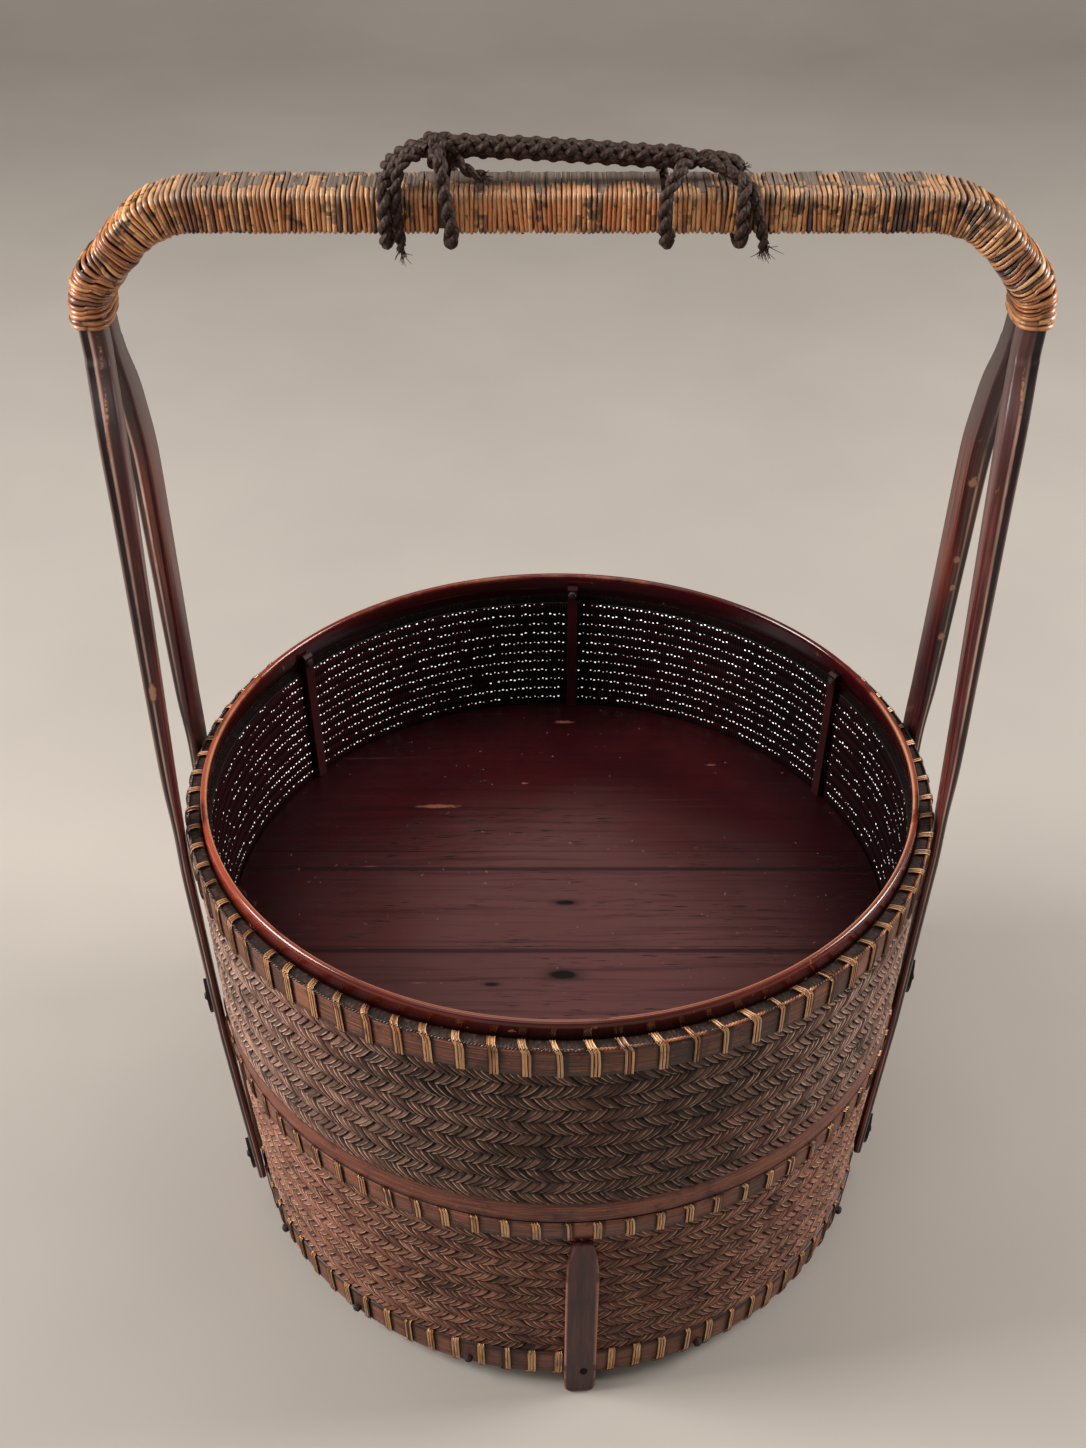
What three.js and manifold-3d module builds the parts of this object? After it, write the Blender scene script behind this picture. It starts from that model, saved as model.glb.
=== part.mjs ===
// Two-tier lacquered bamboo basket with a tall cane-wrapped handle.
// Millimetres, +Z up. The origin is on the table under the middle of the basket, -Y is the front.

import * as THREE from "three";
import { mergeVertices } from "three/addons/utils/BufferGeometryUtils.js";
import Module from "manifold-3d";

const wasm = await Module();
wasm.setup();

// Clearances
const SEAT_GAP = 0.3; // between pieces that touch
const LIFT_GAP = 1; // round the lower lip, which the upper tier slides over

// Heights
const FOOT_STAND = 10; // from the table to the bottom rim
const LOWER_TIER_HEIGHT = 143; // bottom rim's lower edge to the middle rim's top
const UPPER_TIER_HEIGHT = 130; // foot hoop's lower edge to the upper rim's top
const LIP_STAND = 10; // upper lip above the upper rim
const LIP_DEPTH = 20; // upper lip, top to bottom
const LOWER_LIP_STAND = 12; // lower lip above the middle rim, inside the upper tier's foot
const LOWER_LIP_DEPTH = 37;
const FOOT_HOOP_HEIGHT = 15;
const UPPER_FLOOR_DEPTH = 95; // lip top to floor top
const LOWER_FLOOR_RISE = 9; // floor top above the bottom rim's lower edge

// Radii and thicknesses of the round pieces
const RING_SIDES = 48;
const LIP_RADIUS = 190; // outside of the upper lip
const LIP_THICKNESS = 3.5;
const UPPER_WALL_SKIN = 5.9; // woven wall outside the lip
const UPPER_WALL_THICKNESS = 9.6;
const UPPER_TAPER = 4.8; // how much narrower the upper tier is at its foot
const FOOT_HOOP_THICKNESS = 6.9;
const LOWER_WALL_SKIN = 6.4;
const LOWER_TAPER = 11; // how much narrower the lower tier is at its base
const LEDGE = 11; // how far a floor's ledge reaches in under its boards

// Woven rows that show on the walls, each a low ridge between two grooves
const ROW_HEIGHT = { upper: 17.7, lower: 15.6 };
const ROW_DEPTH = 1.1;

// Bound rims: a bamboo strip round the wall with a cap across its edge, tied on with cane
const RIM_STRIP = 1.5;
const RIM_CAP = 3;
const UPPER_RIM_HEIGHT = 17.5;
const MIDDLE_RIM_HEIGHT = 14;
const BOTTOM_RIM_HEIGHT = 20;
const TIE_WIDTH = 4.5;
const TIE_STAND = 1;
const TIE_SLOPE = 1; // how far each side of a tie runs down to the strip
const UPPER_TIES = 80;
const MIDDLE_TIES = 77;
const BOTTOM_TIES = 80;

// Floors, ribs and studs
const FLOOR_THICKNESS = 5;
const BOARD_JOINTS = [-42, 37]; // where the three boards of a floor meet
const BOARD_STEPS = 12; // straight stretches along a board's round end
const LEDGE_HEIGHT = 7.5;
const RIB_ANGLES = [30, 87, 143, 210, 267, 323];
const RIB_WIDTH = 6;
const RIB_THICKNESS = 3;
const RIB_TOP_DROP = 7; // lip top to rib top
const STUD_RADIUS = 2.6;
const STUD_HEIGHT = 1.4;
const STUD_SHOULDER = { radius: 0.75, height: 0.7 }; // shares of the stud's size where its crown begins
const STUD_DROP = 12; // lip top to stud

// Foot slats and floor pegs
const SLAT_ANGLES = [273.5, 3.5, 93.5, 183.5];
const SLAT_WIDTH = 17;
const SLAT_TOP_WIDTH = 10;
const SLAT_SHOULDER = 30; // length of the narrowing at the top
const SLAT_THICKNESS = 4.5;
const SLAT_BEVEL = 0.8;
const SLAT_CORNER = 4;
const SLAT_CURVE_STEPS = 3;
const PEG_ANGLES = [31, 68, 122, 211, 233, 253, 296, 337];
const PEG_RADIUS = 2.5;
const PEG_STAND = 3;
const PEG_ROUND = 1;
const PEG_RISE = 6; // peg's middle above the bottom rim's lower edge

// Handle legs
const LEG_WIDTH = { top: 14, body: 18 };
const LEG_THICKNESS = { top: 11.5, shoulder: 11.5, fork: 10.5, knee: 7.5, rim: 5.2, middle: 4.4, foot: 4.2 };
const LEG_BEVEL = 1.5;
const LEG_CLEARANCE = 0.4; // from the tier that lifts past it
// Half the distance between the middles of a pair of legs. The cheek adds a little to legs that touch
const LEG_SPREAD = { cheek: 1, shoulder: 19, fork: 26, knee: 35.5, rim: 38, middle: 39, foot: 43 };
const LEG_TWIST = 3; // degrees the legs' feet have crept round since the frame was new
// How much further out a leg's inner face stands than at the rim, so that the tier lifts past it
const LEG_FLARE = { knee: 0.2, fork: 0.3, shoulder: 1.2, cheek: 3.4, top: 4.45 };
const LEG_KNEE_RISE = 27; // lip top to where a leg thins to pass the rim
const LEG_CHEEK_DROP = 15.7; // wrap end to where the legs begin to part
const LEG_SHOULDER_DROP = 47; // wrap end to the shoulder
const LEG_FORK_DROP = 82;
const PLATE_HEIGHT = 26;
const PLATE_WIDTH = 12;
const PLATE_THICKNESS = 2;
const UPPER_PLATE_RISE = 13; // from the middle rim's top to the upper plate's middle
const LOWER_PLATE_RISE = 13; // from the leg's foot to the lower plate's middle
const LEAF_STEPS = 5; // straight stretches along each edge of a plate
const NAIL_RADIUS = 2.6;
const NAIL_HEIGHT = 1.3;
const NAIL_CROWN = 0.6; // share of a nail head's radius that is flat on top

// Handle bar and its cane wrap
const HANDLE_RISE = 307.5; // lip top to the bar's middle
const WRAP_END_DROP = 52; // bar's middle to the wrap's lower end
const LEG_TOP_RISE = 5.5; // wrap end to the legs' tops, hidden inside it
const BAR_BEND_INSET = 32; // from the leg's line to where the bar runs level
const BEND_DROP = 36.5; // from the bar's middle to where the leg's line begins
const CORNER_SHARE = { low: 0.2, high: 0.42 }; // how much of the slope the rounded corners take
const BAR_HALF = { height: 7.4, depth: 11.2 }; // half sections of the wooden core
const WRAP_THICKNESS = 2.1;
const WRAP_END_THICKNESS = { across: 2.6, along: 2.5 }; // thicker turns at the ends
const WRAP_BEVEL = 3.2;
const WRAP_END_BEVEL = 4.4;
const BORE_SLACK = 0.9; // over the pair of legs inside the cane, on each axis
const BEND_STATIONS = 11; // sections drawn along each bend
const RIB_PITCH = 5.5;
const RIB_DEPTH = 0.9;
const BARE_PATCHES = [-51, 44]; // where a rope strand goes round the bare bar
const BARE_WIDTH = 5;

// Rope
const GRIP_RADIUS = 5.5;
const STRAND_RADIUS = 2.7;
const INNER_LOOP_X = 49;
const OUTER_LOOP_X = 76;
const GRIP_HALF_LENGTH = 57;
const GRIP_RISE = { left: 24, right: 19 }; // bar's middle to the rope's middle
const GRIP_ARCH = 1.5;
const STRAND_SIDES = 6;
const STRAND_STEPS = 26;
const GRIP_STEPS = 10;
const ROUND_SIDES = 8; // studs, pegs and nail heads

// Worked-out levels
const BASE_Z = FOOT_STAND;
const MIDDLE_RIM_Z = BASE_Z + LOWER_TIER_HEIGHT;
const UPPER_FOOT_Z = MIDDLE_RIM_Z + SEAT_GAP;
const UPPER_RIM_Z = UPPER_FOOT_Z + UPPER_TIER_HEIGHT;
const LIP_Z = UPPER_RIM_Z + LIP_STAND;
const BAR_Z = LIP_Z + HANDLE_RISE;
const WRAP_END_Z = BAR_Z - WRAP_END_DROP;
const LEG_TOP_Z = WRAP_END_Z + LEG_TOP_RISE;
const FOOT_HOOP_TOP_Z = UPPER_FOOT_Z + FOOT_HOOP_HEIGHT;
const LEG_FOOT_Z = BASE_Z + BOTTOM_RIM_HEIGHT - RIM_CAP - SEAT_GAP;

// Worked-out radii
const UPPER_TOP_RADIUS = LIP_RADIUS + SEAT_GAP + UPPER_WALL_SKIN;
const UPPER_FOOT_RADIUS = UPPER_TOP_RADIUS - UPPER_TAPER;
const LOWER_LIP_RADIUS = UPPER_FOOT_RADIUS - FOOT_HOOP_THICKNESS - LIFT_GAP;
const LOWER_TOP_RADIUS = LOWER_LIP_RADIUS + SEAT_GAP + LOWER_WALL_SKIN;
const UPPER_RIM_RADIUS = UPPER_TOP_RADIUS + SEAT_GAP + RIM_STRIP;
const FLAT_RATIO = Math.cos(Math.PI / RING_SIDES); // a facet's middle is this much nearer the axis

function upperWallRadius(z) {
  const down = (UPPER_RIM_Z - z) / (UPPER_RIM_Z - FOOT_HOOP_TOP_Z);
  return UPPER_TOP_RADIUS - UPPER_TAPER * down;
}

function lowerWallRadius(z) {
  const down = (MIDDLE_RIM_Z - z) / (MIDDLE_RIM_Z - BASE_Z);
  return LOWER_TOP_RADIUS - LOWER_TAPER * down;
}

function upperWallInside(z) {
  return upperWallRadius(z) - UPPER_WALL_THICKNESS;
}

function lowerWallInside(z) {
  return lowerWallRadius(z) - LOWER_WALL_SKIN;
}

// Colours from the photograph
const COLOURS = {
  weaveDark: { color: 0x4a3a33, roughness: 0.62, metalness: 0 },
  weaveRed: { color: 0x5f3f33, roughness: 0.6, metalness: 0 },
  lacquerRed: { color: 0x5a1410, roughness: 0.25, metalness: 0 },
  lacquerDark: { color: 0x2a0d0e, roughness: 0.35, metalness: 0 },
  rimStrip: { color: 0x4c3327, roughness: 0.5, metalness: 0 },
  plainHoop: { color: 0x7a4a38, roughness: 0.5, metalness: 0 },
  board: { color: 0x3a1618, roughness: 0.38, metalness: 0 },
  slat: { color: 0x3c2024, roughness: 0.4, metalness: 0 },
  leg: { color: 0x2e1214, roughness: 0.3, metalness: 0 },
  peg: { color: 0x1c1412, roughness: 0.6, metalness: 0 },
  iron: { color: 0x161414, roughness: 0.55, metalness: 0.7 },
  cane: { color: 0x9a6234, roughness: 0.35, metalness: 0 },
  rope: { color: 0x2d2522, roughness: 0.9, metalness: 0 },
};

const UP = new THREE.Vector3(0, 0, 1);

const basket = new THREE.Group();
const lowerTier = new THREE.Group();
const upperTier = new THREE.Group();
basket.add(lowerTier, upperTier);

function addPiece(parent, name, geometry, finish) {
  const mesh = new THREE.Mesh(geometry, new THREE.MeshStandardMaterial(finish));
  mesh.name = name;
  parent.add(mesh);
  return mesh;
}

// Shape helpers

function bare(geometry) {
  const copy = geometry.index ? geometry.clone() : mergeVertices(geometry);
  copy.deleteAttribute("normal");
  copy.deleteAttribute("uv");
  return mergeVertices(copy, 1e-4);
}

function toSolid(geometry) {
  const clean = bare(geometry);
  const mesh = new wasm.Mesh({
    numProp: 3,
    vertProperties: new Float32Array(clean.attributes.position.array),
    triVerts: new Uint32Array(clean.index.array),
  });
  return new wasm.Manifold(mesh);
}

function toGeometry(solid) {
  const mesh = solid.getMesh();
  const geometry = new THREE.BufferGeometry();
  geometry.setAttribute("position", new THREE.BufferAttribute(Float32Array.from(mesh.vertProperties), 3));
  geometry.setIndex(new THREE.BufferAttribute(Uint32Array.from(mesh.triVerts), 1));
  geometry.computeVertexNormals();
  return geometry;
}

function join(geometries) {
  const solids = geometries.map(toSolid);
  return toGeometry(solids.reduce((whole, piece) => whole.add(piece)));
}

// A ring turned round Z from a closed outline of [radius, z] points, listed anticlockwise
function turned(outline, sides = RING_SIDES) {
  const points = [...outline, outline[0]].map(([r, z]) => new THREE.Vector2(r, z));
  return new THREE.LatheGeometry(points, sides).rotateX(Math.PI / 2);
}

// A closed solid through rings of points, each with the same count
function loft(rings, closed = false) {
  const count = rings[0].length;
  const positions = rings.flat().flatMap((p) => [p.x, p.y, p.z]);
  const index = [];
  const last = closed ? rings.length : rings.length - 1;
  for (let i = 0; i < last; i += 1) {
    const here = i * count;
    const next = ((i + 1) % rings.length) * count;
    for (let j = 0; j < count; j += 1) {
      const k = (j + 1) % count;
      index.push(here + j, here + k, next + k, here + j, next + k, next + j);
    }
  }
  if (!closed) {
    const end = (rings.length - 1) * count;
    for (let j = 1; j < count - 1; j += 1) {
      index.push(0, j + 1, j);
      index.push(end, end + j, end + j + 1);
    }
  }
  const geometry = new THREE.BufferGeometry();
  geometry.setAttribute("position", new THREE.Float32BufferAttribute(positions, 3));
  geometry.setIndex(index);
  geometry.computeVertexNormals();
  return geometry;
}

// Eight points of a bevelled rectangle, half sizes a along u and b along v
function bevelled(centre, u, v, a, b, bevel) {
  const corners = [
    [a, -b + bevel], [a, b - bevel], [a - bevel, b], [-a + bevel, b],
    [-a, b - bevel], [-a, -b + bevel], [-a + bevel, -b], [a - bevel, -b],
  ];
  return corners.map(([p, q]) => centre.clone().addScaledVector(u, p).addScaledVector(v, q));
}

function polar(radius, degrees, z = 0) {
  const angle = THREE.MathUtils.degToRad(degrees);
  return new THREE.Vector3(radius * Math.cos(angle), radius * Math.sin(angle), z);
}

// Points up a wall's outside, with a ridge for each woven row that fits between two heights
function wovenRows(wallRadius, fromZ, toZ, rowHeight) {
  const points = [];
  for (let grooveZ = toZ; grooveZ > fromZ + rowHeight; grooveZ -= rowHeight) {
    points.push([wallRadius(grooveZ) - ROW_DEPTH, grooveZ]);
    points.push([wallRadius(grooveZ - rowHeight / 2), grooveZ - rowHeight / 2]);
  }
  return points.reverse();
}

// Bound rims

// Outline of a strip seen from above: its outside stands out at every tie
function tiedOutline(radius, ties) {
  const points = [];
  const flat = TIE_WIDTH / 2 / radius;
  const slope = TIE_SLOPE / radius;
  for (let i = 0; i < ties; i += 1) {
    const middle = (2 * Math.PI * i) / ties;
    const corner = (r, angle) => new THREE.Vector2(r * Math.cos(angle), r * Math.sin(angle));
    points.push(corner(radius, middle - flat - slope), corner(radius + TIE_STAND, middle - flat));
    points.push(corner(radius + TIE_STAND, middle + flat), corner(radius, middle + flat + slope));
  }
  return points;
}

function regularOutline(radius) {
  const at = (i) => (2 * Math.PI * i) / RING_SIDES;
  return Array.from({ length: RING_SIDES }, (_, i) => new THREE.Vector2(Math.cos(at(i)), Math.sin(at(i))))
    .map((p) => p.multiplyScalar(radius));
}

// A strip round the wall, ridged by its cane ties, with a cap across the wall's edge.
// side is 1 with the cap on top, -1 with the cap below
function boundRim({ edgeZ, height, inside, wallRadius, side, ties }) {
  const freeZ = edgeZ - side * height;
  const stripIn = wallRadius(edgeZ) + SEAT_GAP;
  const shape = new THREE.Shape(tiedOutline(stripIn + RIM_STRIP, ties));
  shape.holes.push(new THREE.Path(regularOutline(stripIn)));
  const strip = new THREE.ExtrudeGeometry(shape, { depth: height, bevelEnabled: false });
  strip.translate(0, 0, Math.min(edgeZ, freeZ));
  const places = strip.attributes.position;
  for (let i = 0; i < places.count; i += 1) {
    const taper = wallRadius(places.getZ(i)) / wallRadius(edgeZ);
    places.setXY(i, places.getX(i) * taper, places.getY(i) * taper);
  }
  const lowZ = Math.min(edgeZ, edgeZ - side * RIM_CAP);
  const cap = turned([
    [inside, lowZ],
    [stripIn + RIM_STRIP / 2, lowZ],
    [stripIn + RIM_STRIP / 2, lowZ + RIM_CAP],
    [inside, lowZ + RIM_CAP],
  ]);
  return join([strip, cap]);
}

// Floors

// One board of a round floor, between two straight joints
function board(radius, from, to, thickness) {
  const start = Math.asin(Math.max(-1, from / radius));
  const end = Math.asin(Math.min(1, to / radius));
  const angles = Array.from({ length: BOARD_STEPS + 1 }, (_, i) => start + ((end - start) * i) / BOARD_STEPS);
  const right = angles.map((a) => new THREE.Vector2(radius * Math.cos(a), radius * Math.sin(a)));
  const left = right.map((p) => new THREE.Vector2(-p.x, p.y)).reverse();
  const outline = [...right, ...left].filter((p, i, all) => i === 0 || p.distanceTo(all[i - 1]) > SEAT_GAP);
  const open = outline[0].distanceTo(outline[outline.length - 1]) > SEAT_GAP;
  const whole = open ? outline : outline.slice(0, -1);
  return new THREE.ExtrudeGeometry(new THREE.Shape(whole), { depth: thickness, bevelEnabled: false });
}

function addFloor(parent, name, radius, topZ) {
  const edges = [-radius, ...BOARD_JOINTS, radius];
  const places = ["front", "middle", "back"];
  places.forEach((place, i) => {
    const from = i === 0 ? -radius : edges[i] + SEAT_GAP / 2;
    const to = i === places.length - 1 ? radius : edges[i + 1] - SEAT_GAP / 2;
    const shape = board(radius, from, to, FLOOR_THICKNESS);
    addPiece(parent, `${name}_board_${place}`, shape, COLOURS.board).position.z = topZ - FLOOR_THICKNESS;
  });
}

// Upper tier

const UPPER_FLOOR_Z = LIP_Z - UPPER_FLOOR_DEPTH;
const LIP_FOOT_Z = LIP_Z - LIP_DEPTH;

function buildUpperShell() {
  const shelfZ = LIP_FOOT_Z - SEAT_GAP;
  const topZ = UPPER_RIM_Z - RIM_CAP - SEAT_GAP;
  const footZ = FOOT_HOOP_TOP_Z + SEAT_GAP;
  const wall = turned([
    [upperWallInside(footZ), footZ],
    [upperWallRadius(footZ), footZ],
    ...wovenRows(upperWallRadius, footZ, UPPER_RIM_Z - UPPER_RIM_HEIGHT, ROW_HEIGHT.upper),
    [upperWallRadius(topZ), topZ],
    [LIP_RADIUS + SEAT_GAP, topZ],
    [LIP_RADIUS + SEAT_GAP, shelfZ],
    [upperWallInside(shelfZ), shelfZ],
  ]);
  addPiece(upperTier, "upper_wall", wall, COLOURS.weaveDark);
  const lip = turned([
    [LIP_RADIUS - LIP_THICKNESS, LIP_FOOT_Z],
    [LIP_RADIUS, LIP_FOOT_Z],
    [LIP_RADIUS, LIP_Z - LIP_THICKNESS / 2],
    [LIP_RADIUS - LIP_THICKNESS / 3, LIP_Z],
    [LIP_RADIUS - (2 * LIP_THICKNESS) / 3, LIP_Z],
    [LIP_RADIUS - LIP_THICKNESS, LIP_Z - LIP_THICKNESS / 3],
  ]);
  addPiece(upperTier, "upper_lip", lip, COLOURS.lacquerRed);
  const rim = boundRim({
    edgeZ: UPPER_RIM_Z,
    height: UPPER_RIM_HEIGHT,
    inside: LIP_RADIUS + SEAT_GAP,
    wallRadius: upperWallRadius,
    side: 1,
    ties: UPPER_TIES,
  });
  addPiece(upperTier, "upper_rim", rim, COLOURS.rimStrip);
  const hoop = turned([
    [LOWER_LIP_RADIUS + LIFT_GAP, UPPER_FOOT_Z],
    [UPPER_FOOT_RADIUS, UPPER_FOOT_Z],
    [UPPER_FOOT_RADIUS, FOOT_HOOP_TOP_Z],
    [LOWER_LIP_RADIUS + LIFT_GAP, FOOT_HOOP_TOP_Z],
  ]);
  addPiece(upperTier, "upper_foot_hoop", hoop, COLOURS.plainHoop);
}

function buildUpperFloor() {
  const ledgeTop = UPPER_FLOOR_Z - FLOOR_THICKNESS - SEAT_GAP;
  const ledgeOut = upperWallInside(ledgeTop - LEDGE_HEIGHT) - SEAT_GAP;
  const ledge = turned([
    [ledgeOut - LEDGE, ledgeTop - LEDGE_HEIGHT],
    [ledgeOut, ledgeTop - LEDGE_HEIGHT],
    [ledgeOut, ledgeTop],
    [ledgeOut - LEDGE, ledgeTop],
  ]);
  addPiece(upperTier, "upper_floor_ledge", ledge, COLOURS.lacquerDark);
  const radius = upperWallInside(UPPER_FLOOR_Z - FLOOR_THICKNESS) * FLAT_RATIO - SEAT_GAP;
  addFloor(upperTier, "upper_floor", radius, UPPER_FLOOR_Z);
}

// Upright ribs inside the upper wall, each with a stud near its top
function buildRibs() {
  const topZ = LIP_Z - RIB_TOP_DROP;
  const footZ = UPPER_FLOOR_Z + SEAT_GAP;
  const back = (z) => upperWallInside(z) * FLAT_RATIO - SEAT_GAP;
  const lean = (back(LIP_FOOT_Z) - back(footZ)) / (LIP_FOOT_Z - footZ);
  const backAt = (z) => back(footZ) + lean * (z - footZ);
  const shape = new THREE.Shape([
    new THREE.Vector2(backAt(footZ) - RIB_THICKNESS, footZ),
    new THREE.Vector2(backAt(footZ), footZ),
    new THREE.Vector2(backAt(LIP_FOOT_Z), LIP_FOOT_Z),
    new THREE.Vector2(backAt(LIP_FOOT_Z), topZ),
    new THREE.Vector2(backAt(LIP_FOOT_Z) - RIB_THICKNESS / 2, topZ),
    new THREE.Vector2(backAt(LIP_FOOT_Z) - RIB_THICKNESS, topZ - RIB_THICKNESS / 2),
    new THREE.Vector2(backAt(LIP_FOOT_Z) - RIB_THICKNESS, LIP_FOOT_Z),
  ]);
  const face = backAt(LIP_FOOT_Z) - RIB_THICKNESS - SEAT_GAP;
  const crown = [STUD_RADIUS * STUD_SHOULDER.radius, STUD_HEIGHT * STUD_SHOULDER.height];
  const headOutline = [[0, 0], [STUD_RADIUS, 0], crown, [0, STUD_HEIGHT]];
  RIB_ANGLES.forEach((degrees, i) => {
    const turn = THREE.MathUtils.degToRad(degrees);
    const rib = new THREE.ExtrudeGeometry(shape, { depth: RIB_WIDTH, bevelEnabled: false });
    rib.translate(0, 0, -RIB_WIDTH / 2).rotateX(Math.PI / 2);
    addPiece(upperTier, `wall_rib_${i + 1}`, rib, COLOURS.lacquerDark).rotation.z = turn;
    const head = new THREE.LatheGeometry(headOutline.map(([r, h]) => new THREE.Vector2(r, h)), ROUND_SIDES);
    const stud = addPiece(upperTier, `rib_stud_${i + 1}`, head.rotateZ(Math.PI / 2), COLOURS.iron);
    stud.rotation.z = turn;
    stud.position.copy(polar(face, degrees, LIP_Z - STUD_DROP));
  });
}

// Lower tier

function buildLowerShell() {
  const topZ = MIDDLE_RIM_Z - RIM_CAP - SEAT_GAP;
  const footZ = BASE_Z + RIM_CAP + SEAT_GAP;
  const rowFootZ = BASE_Z + BOTTOM_RIM_HEIGHT - ROW_HEIGHT.lower;
  const wall = turned([
    [lowerWallInside(footZ), footZ],
    [lowerWallRadius(footZ), footZ],
    ...wovenRows(lowerWallRadius, rowFootZ, MIDDLE_RIM_Z - MIDDLE_RIM_HEIGHT, ROW_HEIGHT.lower),
    [lowerWallRadius(topZ), topZ],
    [lowerWallInside(topZ), topZ],
  ]);
  addPiece(lowerTier, "lower_wall", wall, COLOURS.weaveRed);
  const lipTop = MIDDLE_RIM_Z + LOWER_LIP_STAND;
  const lipFoot = lipTop - LOWER_LIP_DEPTH;
  const lipRadius = lowerWallInside(lipFoot) * FLAT_RATIO - SEAT_GAP;
  const lip = turned([
    [lipRadius - LIP_THICKNESS, lipFoot],
    [lipRadius, lipFoot],
    [lipRadius, lipTop - LIP_THICKNESS / 3],
    [lipRadius - LIP_THICKNESS / 3, lipTop],
    [lipRadius - LIP_THICKNESS, lipTop],
  ]);
  addPiece(lowerTier, "lower_lip", lip, COLOURS.lacquerRed);
  const middle = boundRim({
    edgeZ: MIDDLE_RIM_Z,
    height: MIDDLE_RIM_HEIGHT,
    inside: LOWER_LIP_RADIUS + SEAT_GAP,
    wallRadius: lowerWallRadius,
    side: 1,
    ties: MIDDLE_TIES,
  });
  addPiece(lowerTier, "middle_rim", middle, COLOURS.rimStrip);
  const bottom = boundRim({
    edgeZ: BASE_Z,
    height: BOTTOM_RIM_HEIGHT,
    inside: lowerWallInside(BASE_Z) - LEDGE,
    wallRadius: lowerWallRadius,
    side: -1,
    ties: BOTTOM_TIES,
  });
  addPiece(lowerTier, "bottom_rim", bottom, COLOURS.rimStrip);
  const floorFoot = BASE_Z + LOWER_FLOOR_RISE - FLOOR_THICKNESS;
  const floorRadius = lowerWallInside(floorFoot) * FLAT_RATIO - SEAT_GAP;
  addFloor(lowerTier, "lower_floor", floorRadius, BASE_Z + LOWER_FLOOR_RISE);
}

// Four slats up the outside of the lower wall, which the basket stands on
function buildFootSlats() {
  const topZ = MIDDLE_RIM_Z - MIDDLE_RIM_HEIGHT - RIM_STRIP - SEAT_GAP;
  const rimZ = BASE_Z + BOTTOM_RIM_HEIGHT;
  const topFace = lowerWallRadius(topZ) + SEAT_GAP + SLAT_BEVEL / 2;
  const rimFace = lowerWallRadius(rimZ) + RIM_STRIP + TIE_STAND + 2 * SEAT_GAP;
  const lean = (topFace - rimFace) / (topZ - rimZ);
  const half = SLAT_WIDTH / 2 - SLAT_BEVEL;
  const topHalf = SLAT_TOP_WIDTH / 2 - SLAT_BEVEL;
  const low = SLAT_BEVEL;
  const high = topZ - SLAT_BEVEL;
  const outline = new THREE.Shape();
  outline.moveTo(-half + SLAT_CORNER, low);
  outline.lineTo(half - SLAT_CORNER, low);
  outline.quadraticCurveTo(half, low, half, low + SLAT_CORNER);
  outline.lineTo(half, high - SLAT_SHOULDER);
  outline.quadraticCurveTo(half, high - SLAT_SHOULDER / 2, topHalf, high);
  outline.lineTo(-topHalf, high);
  outline.quadraticCurveTo(-half, high - SLAT_SHOULDER / 2, -half, high - SLAT_SHOULDER);
  outline.lineTo(-half, low + SLAT_CORNER);
  outline.quadraticCurveTo(-half, low, -half + SLAT_CORNER, low);
  const slat = new THREE.ExtrudeGeometry(outline, {
    depth: SLAT_THICKNESS - 2 * SLAT_BEVEL,
    bevelThickness: SLAT_BEVEL,
    bevelSize: SLAT_BEVEL,
    bevelSegments: 1,
    curveSegments: SLAT_CURVE_STEPS,
  });
  slat.translate(0, 0, SLAT_BEVEL);
  // thickness along X, width along Y, length along Z, then leaned with its foot kept level
  slat.applyMatrix4(new THREE.Matrix4().set(0, 0, 1, 0, 1, 0, 0, 0, 0, 1, 0, 0, 0, 0, 0, 1));
  const foot = rimFace - lean * rimZ;
  slat.applyMatrix4(new THREE.Matrix4().set(1, 0, lean, foot, 0, 1, 0, 0, 0, 0, 1, 0, 0, 0, 0, 1));
  const places = ["front", "right", "back", "left"];
  SLAT_ANGLES.forEach((degrees, i) => {
    const piece = addPiece(lowerTier, `foot_slat_${places[i]}`, slat.clone(), COLOURS.slat);
    piece.rotation.z = THREE.MathUtils.degToRad(degrees);
  });
}

// Pegs driven through the bottom rim into the floor, each midway between two ties
function buildPegs() {
  const tieStep = 360 / BOTTOM_TIES;
  const z = BASE_Z + PEG_RISE;
  const face = lowerWallRadius(z + PEG_RADIUS) + SEAT_GAP + RIM_STRIP + SEAT_GAP;
  const side = [[0, 0], [PEG_RADIUS, 0], [PEG_RADIUS, PEG_STAND - PEG_ROUND]];
  const outline = [...side, [PEG_RADIUS / 2, PEG_STAND], [0, PEG_STAND]];
  const head = new THREE.LatheGeometry(outline.map(([r, h]) => new THREE.Vector2(r, h)), ROUND_SIDES);
  head.rotateZ(-Math.PI / 2);
  PEG_ANGLES.forEach((degrees, i) => {
    const between = (Math.round(degrees / tieStep - 0.5) + 0.5) * tieStep;
    const peg = addPiece(lowerTier, `floor_peg_${i + 1}`, head.clone(), COLOURS.peg);
    peg.rotation.z = THREE.MathUtils.degToRad(between);
    peg.position.copy(polar(face, between, z));
  });
}

// Handle legs

const MIDDLE_RIM_OUT = lowerWallRadius(MIDDLE_RIM_Z) + SEAT_GAP + RIM_STRIP + TIE_STAND;
const UPPER_RIM_OUT = UPPER_RIM_RADIUS + TIE_STAND;
const RIM_REACH = UPPER_RIM_OUT + LEG_CLEARANCE;
const LEG_TOP_REACH = RIM_REACH + LEG_FLARE.top;
const LEG_LINE = LEG_TOP_REACH + LEG_THICKNESS.top / 2; // middle of the legs where they enter the wrap

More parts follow.
